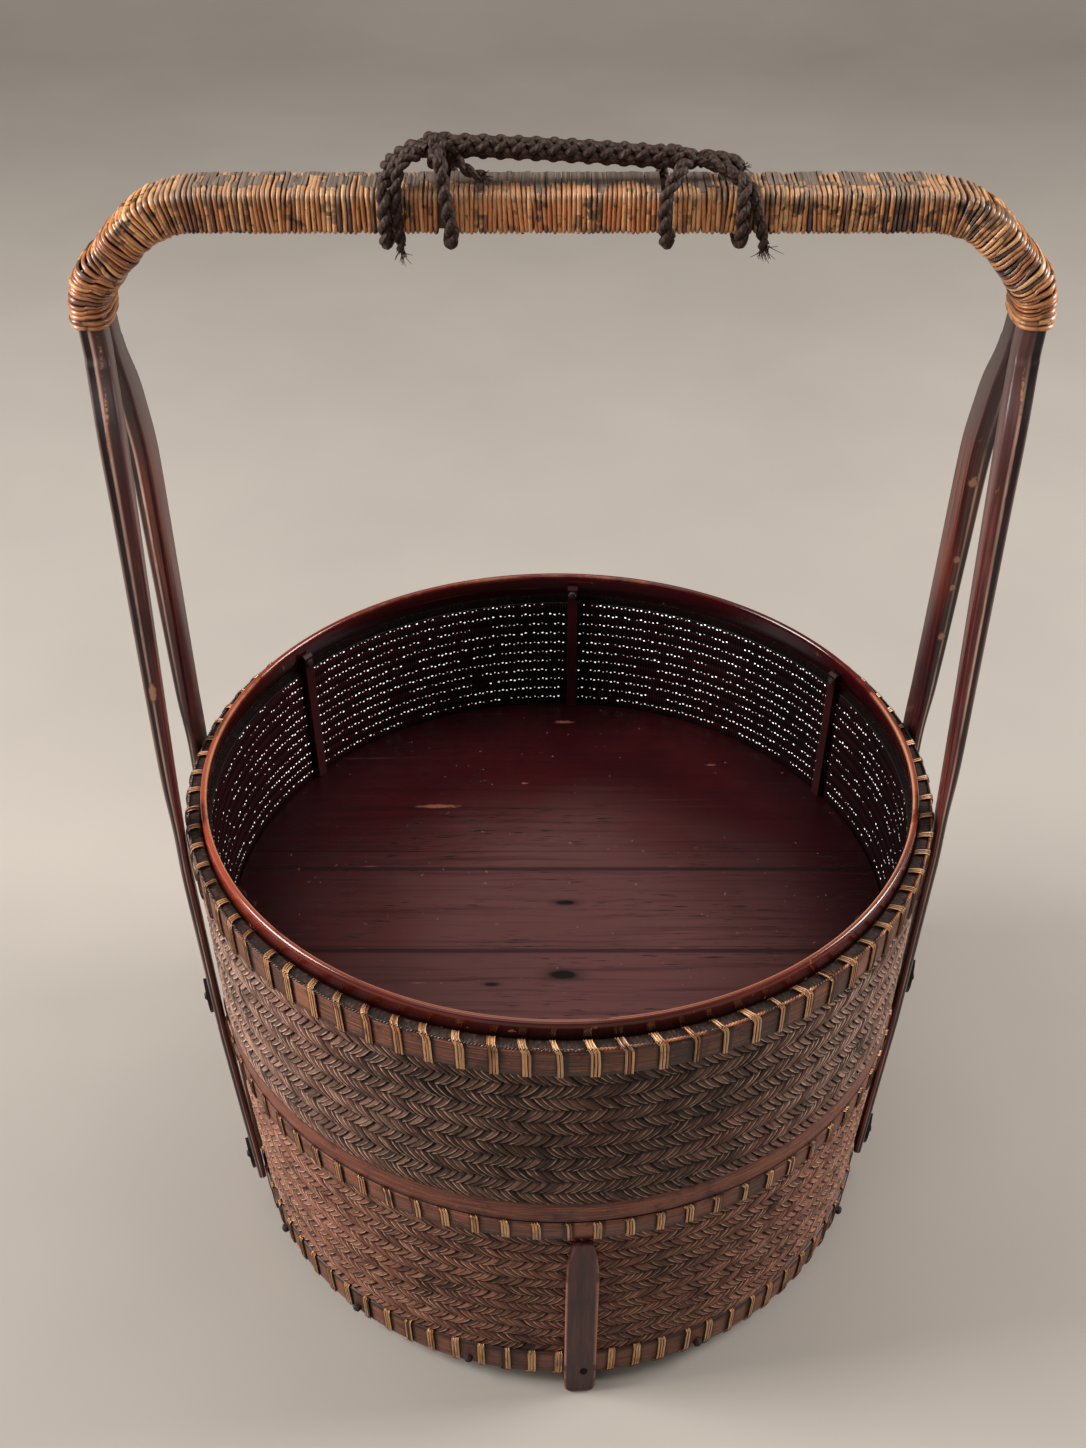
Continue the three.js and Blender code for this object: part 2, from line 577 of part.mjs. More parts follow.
// Stations up a leg: height, half the pair's spread, the inner face's distance from the axis, and section
function legStations() {
  const together = LEG_WIDTH.top / 2 + SEAT_GAP;
  const footReach = lowerWallRadius(LEG_FOOT_Z) + RIM_STRIP + TIE_STAND + 2 * SEAT_GAP;
  const middleZ = MIDDLE_RIM_Z - MIDDLE_RIM_HEIGHT / 2;
  const middleReach = MIDDLE_RIM_OUT + SEAT_GAP;
  const kneeZ = LIP_Z + LEG_KNEE_RISE;
  const forkZ = WRAP_END_Z - LEG_FORK_DROP;
  const shoulderZ = WRAP_END_Z - LEG_SHOULDER_DROP;
  const cheekZ = WRAP_END_Z - LEG_CHEEK_DROP;
  const { body, top } = LEG_WIDTH;
  const thick = LEG_THICKNESS;
  const station = (z, spread, reach, thickness, width) => ({ z, spread, reach, thickness, width });
  return [
    station(LEG_FOOT_Z, LEG_SPREAD.foot, footReach, thick.foot, body),
    station(middleZ, LEG_SPREAD.middle, middleReach, thick.middle, body),
    station(UPPER_RIM_Z - UPPER_RIM_HEIGHT, LEG_SPREAD.rim, RIM_REACH, thick.rim, body),
    station(UPPER_RIM_Z, LEG_SPREAD.rim, RIM_REACH, thick.rim, body),
    station(kneeZ, LEG_SPREAD.knee, RIM_REACH + LEG_FLARE.knee, thick.knee, body),
    station(forkZ, LEG_SPREAD.fork, RIM_REACH + LEG_FLARE.fork, thick.fork, body),
    station(shoulderZ, LEG_SPREAD.shoulder, RIM_REACH + LEG_FLARE.shoulder, thick.shoulder, body),
    station(cheekZ, together + LEG_SPREAD.cheek, RIM_REACH + LEG_FLARE.cheek, thick.top, top),
    station(WRAP_END_Z, together, LEG_TOP_REACH, thick.top, top),
    station(LEG_TOP_Z, together, LEG_TOP_REACH, thick.top, top),
  ];
}

// The leg's place at a height: its inner face's middle, outward and sideways directions, and thickness
function legFrame(side, face, z) {
  const stations = legStations();
  const above = stations.findIndex((s) => s.z >= z - 1e-6);
  const high = stations[Math.max(1, above)];
  const low = stations[Math.max(1, above) - 1];
  const share = (z - low.z) / (high.z - low.z);
  const spread = THREE.MathUtils.lerp(low.spread, high.spread, share);
  const reach = THREE.MathUtils.lerp(low.reach, high.reach, share);
  const thickness = THREE.MathUtils.lerp(low.thickness, high.thickness, share);
  const angle = Math.asin(spread / reach);
  const drop = Math.max(0, WRAP_END_Z - z) / (WRAP_END_Z - LEG_FOOT_Z);
  const twist = THREE.MathUtils.degToRad(LEG_TWIST) * drop;
  const out = new THREE.Vector3(side * Math.cos(angle), face * Math.sin(angle), 0).applyAxisAngle(UP, twist);
  const along = new THREE.Vector3(-out.y, out.x, 0);
  return { out, along, thickness, place: out.clone().multiplyScalar(reach).setZ(z) };
}

function leg(side, face) {
  const rings = legStations().map(({ z, width }) => {
    const { out, along, thickness, place } = legFrame(side, face, z);
    const centre = place.clone().addScaledVector(out, thickness / 2);
    return bevelled(centre, out, along, thickness / 2, width / 2, LEG_BEVEL);
  });
  return loft(rings);
}

// A leaf-shaped iron plate with its nail head, lying on a leg's outer face
function plate(side, face, z) {
  const leaf = new THREE.Shape();
  leaf.moveTo(0, -PLATE_HEIGHT / 2);
  leaf.quadraticCurveTo(PLATE_WIDTH, 0, 0, PLATE_HEIGHT / 2);
  leaf.quadraticCurveTo(-PLATE_WIDTH, 0, 0, -PLATE_HEIGHT / 2);
  const sheetShape = { depth: PLATE_THICKNESS, bevelEnabled: false, curveSegments: LEAF_STEPS };
  const sheet = new THREE.ExtrudeGeometry(leaf, sheetShape);
  const sunk = PLATE_THICKNESS / 2;
  const nailTop = sunk + NAIL_HEIGHT;
  const nailSide = [[0, 0], [NAIL_RADIUS, 0], [NAIL_RADIUS, sunk]];
  const nailOutline = [...nailSide, [NAIL_RADIUS * NAIL_CROWN, nailTop], [0, nailTop]];
  const nailPoints = nailOutline.map(([r, h]) => new THREE.Vector2(r, h));
  const nail = new THREE.LatheGeometry(nailPoints, ROUND_SIDES).rotateX(Math.PI / 2).translate(0, 0, sunk);
  const whole = join([sheet, nail]);
  const here = legFrame(side, face, z);
  const outside = (height) => {
    const frame = legFrame(side, face, height);
    return frame.place.clone().addScaledVector(frame.out, frame.thickness);
  };
  const up = outside(z + PLATE_HEIGHT / 2).sub(outside(z - PLATE_HEIGHT / 2)).normalize();
  const normal = new THREE.Vector3().crossVectors(here.along, up).normalize();
  const across = new THREE.Vector3().crossVectors(up, normal);
  const basis = new THREE.Matrix4().makeBasis(across, up, normal);
  basis.setPosition(outside(z).addScaledVector(normal, SEAT_GAP));
  return whole.applyMatrix4(basis);
}

function buildLegs() {
  const upperPlateZ = MIDDLE_RIM_Z + UPPER_PLATE_RISE;
  const lowerPlateZ = LEG_FOOT_Z + LOWER_PLATE_RISE;
  const sides = { left: -1, right: 1 };
  const faces = { front: -1, back: 1 };
  for (const [faceName, face] of Object.entries(faces)) {
    for (const [sideName, side] of Object.entries(sides)) {
      const name = `${faceName}_${sideName}`;
      addPiece(lowerTier, `handle_leg_${name}`, leg(side, face), COLOURS.leg);
      addPiece(lowerTier, `upper_plate_${name}`, plate(side, face, upperPlateZ), COLOURS.iron);
      addPiece(lowerTier, `lower_plate_${name}`, plate(side, face, lowerPlateZ), COLOURS.iron);
    }
  }
}

// Handle bar

// Middle line of the handle from the left wrap end, over the bar, to the right wrap end
function handleLine() {
  const point = (x, z) => new THREE.Vector3(x, 0, z);
  const bendZ = BAR_Z - BEND_DROP;
  const levelX = LEG_LINE - BAR_BEND_INSET;
  const corners = [
    point(-LEG_LINE, WRAP_END_Z), point(-LEG_LINE, bendZ), point(-levelX, BAR_Z),
    point(levelX, BAR_Z), point(LEG_LINE, bendZ), point(LEG_LINE, WRAP_END_Z),
  ];
  const line = new THREE.CurvePath();
  const slope = corners[1].distanceTo(corners[2]);
  const shares = [0, CORNER_SHARE.low, CORNER_SHARE.high, CORNER_SHARE.high, CORNER_SHARE.low];
  let from = corners[0];
  for (let i = 1; i < corners.length - 1; i += 1) {
    const reach = shares[i] * slope;
    const before = corners[i - 1].clone().sub(corners[i]).setLength(reach).add(corners[i]);
    const after = corners[i + 1].clone().sub(corners[i]).setLength(reach).add(corners[i]);
    line.add(new THREE.LineCurve3(from, before));
    line.add(new THREE.QuadraticBezierCurve3(before, corners[i], after));
    from = after;
  }
  line.add(new THREE.LineCurve3(from, corners[corners.length - 1]));
  return line;
}

const LINE = handleLine();
const LINE_LENGTH = LINE.getLength();

// Half sections at a distance along the line: the bore that the cane is wound on, and the cane's outside
function handleSection(distance) {
  const fromEnd = Math.min(distance, LINE_LENGTH - distance);
  const flareLength = WRAP_END_DROP + BAR_BEND_INSET;
  const level = THREE.MathUtils.smoothstep(fromEnd, LEG_TOP_RISE, flareLength);
  const legHalf = LEG_THICKNESS.top / 2 + BORE_SLACK;
  const legDepth = LEG_WIDTH.top + BORE_SLACK;
  const bore = {
    a: THREE.MathUtils.lerp(legHalf, BAR_HALF.height + SEAT_GAP, level),
    b: THREE.MathUtils.lerp(legDepth, BAR_HALF.depth + SEAT_GAP, level),
  };
  const cane = {
    a: THREE.MathUtils.lerp(WRAP_END_THICKNESS.across, WRAP_THICKNESS, level),
    b: THREE.MathUtils.lerp(WRAP_END_THICKNESS.along, WRAP_THICKNESS, level),
  };
  return { bore, cane, bevel: THREE.MathUtils.lerp(WRAP_END_BEVEL, WRAP_BEVEL, level) };
}

// A section at a distance along the line, with the share of the cane outside the bore that it takes in
function sectionAt(distance, grow, bevel = handleSection(distance).bevel) {
  const share = distance / LINE_LENGTH;
  const centre = LINE.getPointAt(share);
  const ahead = LINE.getTangentAt(share);
  const depth = new THREE.Vector3(0, 1, 0);
  const up = new THREE.Vector3().crossVectors(ahead, depth);
  const { bore, cane } = handleSection(distance);
  return bevelled(centre, depth, up, bore.b + grow(cane.b), bore.a + grow(cane.a), bevel);
}

// Distances along the line at which the core and the bore inside the cane are drawn, alike for both
function coreStations() {
  const start = LEG_TOP_RISE + SEAT_GAP;
  const bendEnd = WRAP_END_DROP + BAR_BEND_INSET;
  const step = (bendEnd - start) / BEND_STATIONS;
  const half = Array.from({ length: BEND_STATIONS + 1 }, (_, i) => start + step * i);
  return [...half, ...half.map((d) => LINE_LENGTH - d).reverse()];
}

function buildBar() {
  const bevel = WRAP_BEVEL - WRAP_THICKNESS;
  const rings = coreStations().map((d) => sectionAt(d, () => -SEAT_GAP, bevel));
  addPiece(lowerTier, "handle_bar", loft(rings), COLOURS.slat);
}

// One stretch of the close cane winding, ridged outside and hollow
function caneWrap(from, to) {
  const ribs = Math.max(1, Math.round((to - from) / RIB_PITCH));
  const pitch = (to - from) / ribs;
  const outer = [];
  const bevel = WRAP_BEVEL - WRAP_THICKNESS;
  for (let i = 0; i <= ribs; i += 1) {
    const valley = from + i * pitch;
    outer.push(sectionAt(valley, (cane) => cane - RIB_DEPTH));
    if (i < ribs) outer.push(sectionAt(valley + pitch / 2, (cane) => cane));
  }
  const bore = [from, ...coreStations().filter((d) => d > from && d < to), to];
  const inner = bore.map((d) => sectionAt(d, () => 0, bevel));
  return loft([...outer, ...inner.reverse()], true);
}

function buildWraps() {
  const middle = LINE_LENGTH / 2;
  const [left, right] = BARE_PATCHES.map((x) => middle + x);
  const half = BARE_WIDTH / 2;
  addPiece(lowerTier, "cane_wrap_left", caneWrap(0, left - half), COLOURS.cane);
  addPiece(lowerTier, "cane_wrap_middle", caneWrap(left + half, right - half), COLOURS.cane);
  addPiece(lowerTier, "cane_wrap_right", caneWrap(right + half, LINE_LENGTH), COLOURS.cane);
}

// Rope

function tube(points, radius, steps) {
  const curve = new THREE.CatmullRomCurve3(points, false, "centripetal");
  const frames = curve.computeFrenetFrames(steps, false);
  const centres = curve.getSpacedPoints(steps);
  const rings = centres.map((centre, i) => {
    const ring = [];
    for (let j = 0; j < STRAND_SIDES; j += 1) {
      const angle = (2 * Math.PI * j) / STRAND_SIDES;
      const point = centre.clone().addScaledVector(frames.normals[i], radius * Math.cos(angle));
      ring.push(point.addScaledVector(frames.binormals[i], radius * Math.sin(angle)));
    }
    return ring;
  });
  return { geometry: loft(rings), centres };
}

// Least gap between turns of one tube, on points further apart along it than half a turn
function leastGap(centres, radius) {
  const away = Math.round(centres.length / 5);
  let least = Infinity;
  for (let i = 0; i < centres.length; i += 1) {
    for (let j = i + away; j < centres.length; j += 1) {
      least = Math.min(least, centres[i].distanceTo(centres[j]) - 2 * radius);
    }
  }
  return least;
}

// Corners of the path round the wrapped bar that keeps a strand's middle clear of it, from top front down
function strandCorners(x) {
  const out = WRAP_THICKNESS + 2 * SEAT_GAP + STRAND_RADIUS;
  const half = { depth: BAR_HALF.depth + out, height: BAR_HALF.height + out };
  const cut = WRAP_BEVEL + STRAND_RADIUS / 2;
  const corners = [
    [half.depth - cut, half.height], [half.depth, half.height - cut],
    [half.depth, cut - half.height], [half.depth - cut, -half.height],
  ];
  const front = corners.map(([y, z]) => new THREE.Vector3(x, -y, BAR_Z + z));
  const back = corners.map(([y, z]) => new THREE.Vector3(x, y, BAR_Z + z)).reverse();
  return [...front, ...back];
}

// A strand out of the front of the grip, round the bar and back into the grip from behind
function innerLoop(x, gripZ) {
  const near = GRIP_RADIUS + SEAT_GAP;
  const far = near + 2 * STRAND_RADIUS;
  const point = (y) => new THREE.Vector3(x, y, gripZ);
  const round = strandCorners(x).slice(1, -1);
  return [point(-near), point(-far), ...round, point(far), point(near)];
}

// A strand out of the end of the grip, round the bar further out and back into the same end
function outerLoop(side, gripZ) {
  const start = GRIP_HALF_LENGTH + 2 * SEAT_GAP;
  const apart = STRAND_RADIUS + 2 * SEAT_GAP;
  const point = (x, y) => new THREE.Vector3(side * x, y, gripZ);
  const straight = start + 2 * STRAND_RADIUS;
  const round = strandCorners(side * OUTER_LOOP_X);
  const out = [point(start, -apart), point(straight, -apart)];
  const back = [point(straight, apart), point(start, apart)];
  return [...out, ...round, ...back];
}

function buildRope() {
  const leftZ = BAR_Z + GRIP_RISE.left;
  const rightZ = BAR_Z + GRIP_RISE.right;
  const ends = [
    new THREE.Vector3(-GRIP_HALF_LENGTH, 0, leftZ),
    new THREE.Vector3(0, 0, (leftZ + rightZ) / 2 + GRIP_ARCH),
    new THREE.Vector3(GRIP_HALF_LENGTH, 0, rightZ),
  ];
  addPiece(lowerTier, "rope_grip", tube(ends, GRIP_RADIUS, GRIP_STEPS).geometry, COLOURS.rope);
  const loops = {
    rope_loop_left_inner: innerLoop(-INNER_LOOP_X, leftZ),
    rope_loop_left_outer: outerLoop(-1, leftZ),
    rope_loop_right_inner: innerLoop(INNER_LOOP_X, rightZ),
    rope_loop_right_outer: outerLoop(1, rightZ),
  };
  for (const [name, route] of Object.entries(loops)) {
    const strand = tube(route, STRAND_RADIUS, STRAND_STEPS);
    const gap = leastGap(strand.centres, STRAND_RADIUS);
    console.log(`${name}: least gap to itself ${gap.toFixed(2)} mm`);
    addPiece(lowerTier, name, strand.geometry, COLOURS.rope);
  }
}

buildUpperShell();
buildUpperFloor();
buildRibs();
buildLowerShell();
buildFootSlats();
buildPegs();
buildLegs();
buildBar();
buildWraps();
buildRope();

export default basket;
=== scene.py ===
# Two-tier lacquered bamboo basket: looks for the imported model.
# Sizes are in millimetres in the model's own frame. A piece turns them into metres when it is made.
# Materials, lamps and the camera work in metres. Colours are written as they look, 0 to 255.
import math

import bpy
import numpy as np
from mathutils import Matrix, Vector


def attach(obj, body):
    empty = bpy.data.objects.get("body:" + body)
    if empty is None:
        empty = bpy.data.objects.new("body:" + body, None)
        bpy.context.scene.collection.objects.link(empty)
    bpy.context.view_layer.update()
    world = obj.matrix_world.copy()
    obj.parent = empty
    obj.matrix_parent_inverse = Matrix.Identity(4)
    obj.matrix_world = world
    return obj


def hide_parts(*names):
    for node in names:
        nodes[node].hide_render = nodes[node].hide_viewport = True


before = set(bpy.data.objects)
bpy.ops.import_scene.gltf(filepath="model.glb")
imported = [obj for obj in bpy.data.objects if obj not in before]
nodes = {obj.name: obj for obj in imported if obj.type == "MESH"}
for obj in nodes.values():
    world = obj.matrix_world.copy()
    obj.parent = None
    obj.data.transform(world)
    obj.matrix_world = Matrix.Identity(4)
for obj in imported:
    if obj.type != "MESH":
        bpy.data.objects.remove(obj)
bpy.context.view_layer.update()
rng = np.random.default_rng(11)
TAU = 2 * math.pi
UP = np.array([0.0, 0.0, 1.0])

# Levels and radii of the model
BASE_Z = 10.0
MIDDLE_RIM_Z = 153.0
UPPER_FOOT_Z = 153.3
FOOT_HOOP_TOP_Z = 168.3
UPPER_RIM_Z = 283.3
LIP_Z = 293.3
LIP_RADIUS = 190.0
LIP_THICKNESS = 3.5
LIP_DEPTH = 20.0
LOWER_LIP_RADIUS = 183.5
LOWER_LIP_Z = 165.0
LOWER_LIP_DEPTH = 37.0
BAR_Z = 600.8
WRAP_END_Z = 548.8
LEG_TOP_Z = 554.3
LEG_FOOT_Z = 26.7

# The bodies that the pieces ride on
UPPER = "upper_tier"
LOWER = "lower_tier"


def upper_radius(z):
    """Outside of the upper wall, which widens upwards."""
    return 196.2 - 4.8 * (UPPER_RIM_Z - z) / (UPPER_RIM_Z - FOOT_HOOP_TOP_Z)


def lower_radius(z):
    """Outside of the lower wall, which widens upwards."""
    return 190.2 - 11.0 * (MIDDLE_RIM_Z - z) / (MIDDLE_RIM_Z - BASE_Z)


def unit(v):
    """Vectors of length 1 in the same directions."""
    return v / np.maximum(np.linalg.norm(v, axis=-1, keepdims=True), 1e-9)


def round_at(angle, radius, z):
    """Points on circles round the upright axis."""
    angle, radius, z = np.broadcast_arrays(angle, radius, z)
    return np.stack([radius * np.cos(angle), radius * np.sin(angle), z], -1).astype(float)


def along_circle(out):
    """The way round the upright axis, square to each outward direction."""
    return np.stack([-out[..., 1], out[..., 0], np.zeros(out.shape[:-1])], -1)


def lengths(path):
    """How far each point of a path is from its start."""
    return np.concatenate([[0], np.cumsum(np.linalg.norm(np.diff(path, axis=0), axis=1))])


# Meshes


def in_scene(name, data):
    """An object for the data, linked into the scene."""
    obj = bpy.data.objects.new(name, data)
    bpy.context.scene.collection.objects.link(obj)
    return obj


def piece(name, verts, faces, material, body, slot, replaced, fields, smooth=True):
    """One mesh object made from points in millimetres and lists of faces, riding on a body."""
    mesh = bpy.data.meshes.new(name)
    mesh.vertices.add(len(verts))
    mesh.vertices.foreach_set("co", (np.asarray(verts, float) * 0.001).astype(np.float32).ravel())
    corners = np.concatenate([f.ravel() for f in faces]).astype(np.int32)
    sizes = np.concatenate([np.full(len(f), f.shape[1]) for f in faces])
    starts = np.concatenate([[0], np.cumsum(sizes)[:-1]]).astype(np.int32)
    mesh.loops.add(len(corners))
    mesh.loops.foreach_set("vertex_index", corners)
    mesh.polygons.add(len(sizes))
    mesh.polygons.foreach_set("loop_start", starts)
    mesh.update(calc_edges=True)
    mesh.validate()
    for key, values in fields.items():
        field = mesh.attributes.new(key, "FLOAT", "POINT")
        field.data.foreach_set("value", np.asarray(values, np.float32).ravel())
    mesh.polygons.foreach_set("use_smooth", np.full(len(mesh.polygons), smooth))
    mesh.materials.append(material)
    obj = in_scene(name, mesh)
    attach(obj, body)
    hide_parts(*replaced)


class Patches:
    """Grids of points gathered into one mesh. Each point has the fields that the materials read:
    tone (its strand's own shade), along and across (its place on the strand), mark, and turn.
    """

    def __init__(self):
        self.verts, self.faces, self.fields, self.count = [], [], {}, 0

    def add(self, points, **fields):
        """Adds (k, n, m, 3) points as k grids. Fields that aren't given are 0, turn apart."""
        shape = points.shape[:3]
        i = np.arange(math.prod(shape)).reshape(shape) + self.count
        squares = np.stack([i[:, :-1, :-1], i[:, 1:, :-1], i[:, 1:, 1:], i[:, :-1, 1:]], -1)
        self.faces.append(squares.reshape(-1, 4))
        self.verts.append(points.reshape(-1, 3))
        fields = {"tone": 0.0, "along": 0.0, "across": 0.0, "mark": 0.0, **fields}
        for key, value in fields.items():
            value = np.broadcast_to(value, shape)
            self.fields.setdefault(key, []).append(value.ravel())
        self.count += i.size
        return self

    def close(self, *rings):
        """Adds one flat face for each ring of point numbers."""
        self.faces.extend(ring[None] for ring in rings)

    def build(self, name, material, body, slot, replaced):
        fields = {key: np.concatenate(values) for key, values in self.fields.items()}
        piece(name, np.concatenate(self.verts), self.faces, material, body, slot, replaced, fields)


def ring_points(profile, segments, radius_noise=0.0, start=math.pi / 2):
    """A ring turned from (radius, z) points: (1, segments + 1, m, 3) points, along, across."""
    profile = np.asarray(profile, float)
    angle = start + np.linspace(0, TAU, segments + 1)
    waves = np.sin(3 * angle) + 0.6 * np.sin(7 * angle + 1) + 0.4 * np.sin(13 * angle + 2)
    radius = profile[None, :, 0] + radius_noise * waves[:, None]
    points = round_at(angle[:, None], radius, profile[None, :, 1])
    along = (angle - start) * profile[:, 0].mean()
    return points[None], along[None, :, None], lengths(profile)[None, None, :]


def turned_ring(name, profile, segments, material, body, slot, replaced, **fields):
    """A piece that is one plain turned ring."""
    points, along, across = ring_points(profile, segments)
    patch = Patches().add(points, along=along, across=across, **fields)
    patch.build(name, material, body, slot, replaced)


def path_frame(path):
    """Two directions square to a path at each of its points, which don't twist along it."""
    tangent = unit(np.gradient(path, axis=0))
    normal = np.zeros_like(path)
    normal[0] = unit(np.cross(tangent[0], [0.31, 0.83, 0.47]))
    for i in range(1, len(path)):
        normal[i] = unit(normal[i - 1] - tangent[i] * np.dot(normal[i - 1], tangent[i]))
    return normal, np.cross(tangent, normal)


def tube_points(path, radius, sides):
    """(1, n, sides + 1, 3) points of a tube along a path."""
    path = np.asarray(path, float)
    normal, binormal = path_frame(path)
    angle = np.linspace(0, TAU, sides + 1)[None, :, None]
    radius = np.broadcast_to(radius, len(path))[:, None, None]
    around = normal[:, None] * np.cos(angle) + binormal[:, None] * np.sin(angle)
    return (path[:, None] + around * radius)[None]


def smooth_path(corners, step):
    """Points every step along a centripetal curve through the corners."""
    p = np.asarray(corners, float)
    p = np.vstack([2 * p[0] - p[1], p, 2 * p[-1] - p[-2]])
    out = []
    for i in range(len(p) - 3):
        level = list(p[i : i + 4])
        steps = np.linalg.norm(np.diff(level, axis=0), axis=1)
        knots = np.concatenate([[0], np.cumsum(np.sqrt(steps))])
        t = np.linspace(knots[1], knots[2], 24, endpoint=False)[:, None]
        for first, width in ((0, 1), (0, 2), (1, 1)):
            level = [
                ((knots[j + width] - t) * a + (t - knots[j]) * b) / (knots[j + width] - knots[j])
                for j, (a, b) in enumerate(zip(level, level[1:]), first)
            ]
        out.append(level[0])
    path = np.vstack(out + [p[-2:-1]])
    far = lengths(path)
    at = np.linspace(0, far[-1], max(3, int(far[-1] / step) + 1))
    return np.stack([np.interp(at, far, path[:, i]) for i in range(3)], -1)


# Materials


class Value:
    """A number that changes over a material. Sums with it add math nodes to the material."""

    def __init__(self, look, socket):
        self.look, self.socket = look, socket

    def __add__(self, other):
        return self.look.math("ADD", self, other)

    def __sub__(self, other):
        return self.look.math("SUBTRACT", self, other)

    def __rsub__(self, other):
        return self.look.math("SUBTRACT", other, self)

    def __mul__(self, other):
        return self.look.math("MULTIPLY", self, other)

    def __truediv__(self, other):
        return self.look.math("DIVIDE", self, other)

    def __lt__(self, other):
        return self.look.math("LESS_THAN", self, other)

    def __abs__(self):
        return self.look.math("ABSOLUTE", self)


def shader_colour(r, g, b):
    """A colour written as it looks, 0 to 255, in the numbers that a shader takes."""
    shares = (r / 255, g / 255, b / 255)
    return (*(c / 12.92 if c <= 0.04045 else ((c + 0.055) / 1.055) ** 2.4 for c in shares), 1)


class Look:
    """A material made of nodes, with short names for the ones used here.

    A look is painted in layers: ramp gives the body's first colour, and tint and lay put others
    over it.
    """

    def __init__(self, name, roughness=0.5, **sockets):
        self.material = bpy.data.materials.new(name)
        self.material.use_nodes = True
        self.tree = self.material.node_tree
        self.tree.nodes.clear()
        self.shader = self.node("ShaderNodeBsdfPrincipled")
        output = self.node("ShaderNodeOutputMaterial")
        self.tree.links.new(self.shader.outputs[0], output.inputs[0])
        self.shader.inputs["Roughness"].default_value = roughness
        for key, value in sockets.items():
            self.shader.inputs[key.replace("_", " ")].default_value = value
        self.coordinates = self.node("ShaderNodeTexCoord").outputs["Object"]
        self.body = None

    def node(self, kind, **settings):
        made = self.tree.nodes.new(kind)
        for key, value in settings.items():
            setattr(made, key, value)
        return made

    def put(self, socket, value):
        """Links a Value or another node's socket, or sets a number or colour."""
        value = getattr(value, "socket", value)
        if isinstance(value, bpy.types.NodeSocket):
            self.tree.links.new(value, socket)
        elif isinstance(value, tuple):
            socket.default_value = shader_colour(*value)
        else:
            socket.default_value = value

    def field(self, name):
        """One of the numbers that a mesh carries at its points."""
        made = self.node("ShaderNodeAttribute", attribute_name=name)
        return Value(self, made.outputs["Fac"])

    def strand(self):
        """The fields tone, along and across."""
        return self.field("tone"), self.field("along"), self.field("across")

    def parts(self):
        """The place on the model in metres: x, y and z."""
        split = self.node("ShaderNodeSeparateXYZ")
        self.put(split.inputs[0], self.coordinates)
        return [Value(self, socket) for socket in split.outputs]

    def vector(self, x, y, z):
        made = self.node("ShaderNodeCombineXYZ")
        for socket, value in zip(made.inputs, (x, y, z)):
            self.put(socket, value)
        return made.outputs[0]

    def math(self, operation, a, b=0.0):
        made = self.node("ShaderNodeMath", operation=operation)
        for socket, value in zip(made.inputs, (a, b)):
            self.put(socket, value)
        return Value(self, made.outputs[0])

    def distance(self, *sides):
        """How far a point is from another, given how far it is in each direction."""
        total = sides[0] * sides[0]
        for side in sides[1:]:
            total = total + side * side
        return self.math("SQRT", total)

    def noise(self, vector, scale, detail, rough, distortion):
        made = self.node("ShaderNodeTexNoise")
        self.put(made.inputs["Vector"], vector)
        settings = {"Scale": scale, "Detail": detail, "Roughness": rough, "Distortion": distortion}
        for key, value in settings.items():
            made.inputs[key].default_value = value
        return Value(self, made.outputs["Fac"])

    def cloud(self, scale, detail=3, rough=0.55):
        """Noise that is alike in all directions, with scale patches to the metre."""
        return self.noise(self.coordinates, scale, detail, rough, 0.0)

    def grain(self, place, detail=3, rough=0.55, distortion=0.0):
        """Noise read at a place of three numbers, each stretched as it should be."""
        return self.noise(self.vector(*place), 1.0, detail, rough, distortion)

    def ramp(self, value, stops):
        """Colours between the stops, each a pair of value and colour."""
        made = self.node("ShaderNodeValToRGB")
        self.put(made.inputs[0], value)
        elements = made.color_ramp.elements
        while len(elements) < len(stops):
            elements.new(0.5)
        for element, (at, colour) in zip(elements, stops):
            element.position = at
            element.color = shader_colour(*colour)
        return made.outputs[0]

    def step(self, value, low, high):
        """0 below low, 1 above high, smooth between. With low over high it falls."""
        made = self.node("ShaderNodeMapRange", interpolation_type="SMOOTHSTEP")
        ends = (low, high, 0.0, 1.0) if low <= high else (high, low, 1.0, 0.0)
        for socket, number in zip(made.inputs, (value, *ends)):
            self.put(socket, number)
        return Value(self, made.outputs[0])

    def mix(self, share, a, b, blend="MIX"):
        made = self.node("ShaderNodeMix", data_type="RGBA", blend_type=blend, clamp_factor=True)
        for socket, value in ((0, share), (6, a), (7, b)):
            self.put(made.inputs[socket], value)
        return made.outputs[2]

    def tint(self, share, colour, blend="MIX"):
        """Lays a colour over the body, by a share from 0 to 1."""
        self.body = self.mix(share, self.body, colour, blend)

    def lay(self, colour, share, value, low, high):
        """Lays a colour over the body, from none where a value is at low to the share at high."""
        self.tint(self.step(value, low, high) * share, colour)

    def finish(self, roughness=None, height=None, strength=0.4, distance=0.0005):
        """The finished material. The height gives a relief, distance deep in metres."""
        self.put(self.shader.inputs["Base Color"], self.body)
        if roughness is not None:
            self.put(self.shader.inputs["Roughness"], roughness)
        if height is not None:
            bump = self.node("ShaderNodeBump")
            bump.inputs["Strength"].default_value = strength
            bump.inputs["Distance"].default_value = distance
            self.put(bump.inputs["Height"], height)
            self.put(self.shader.inputs["Normal"], bump.outputs[0])
        return self.material


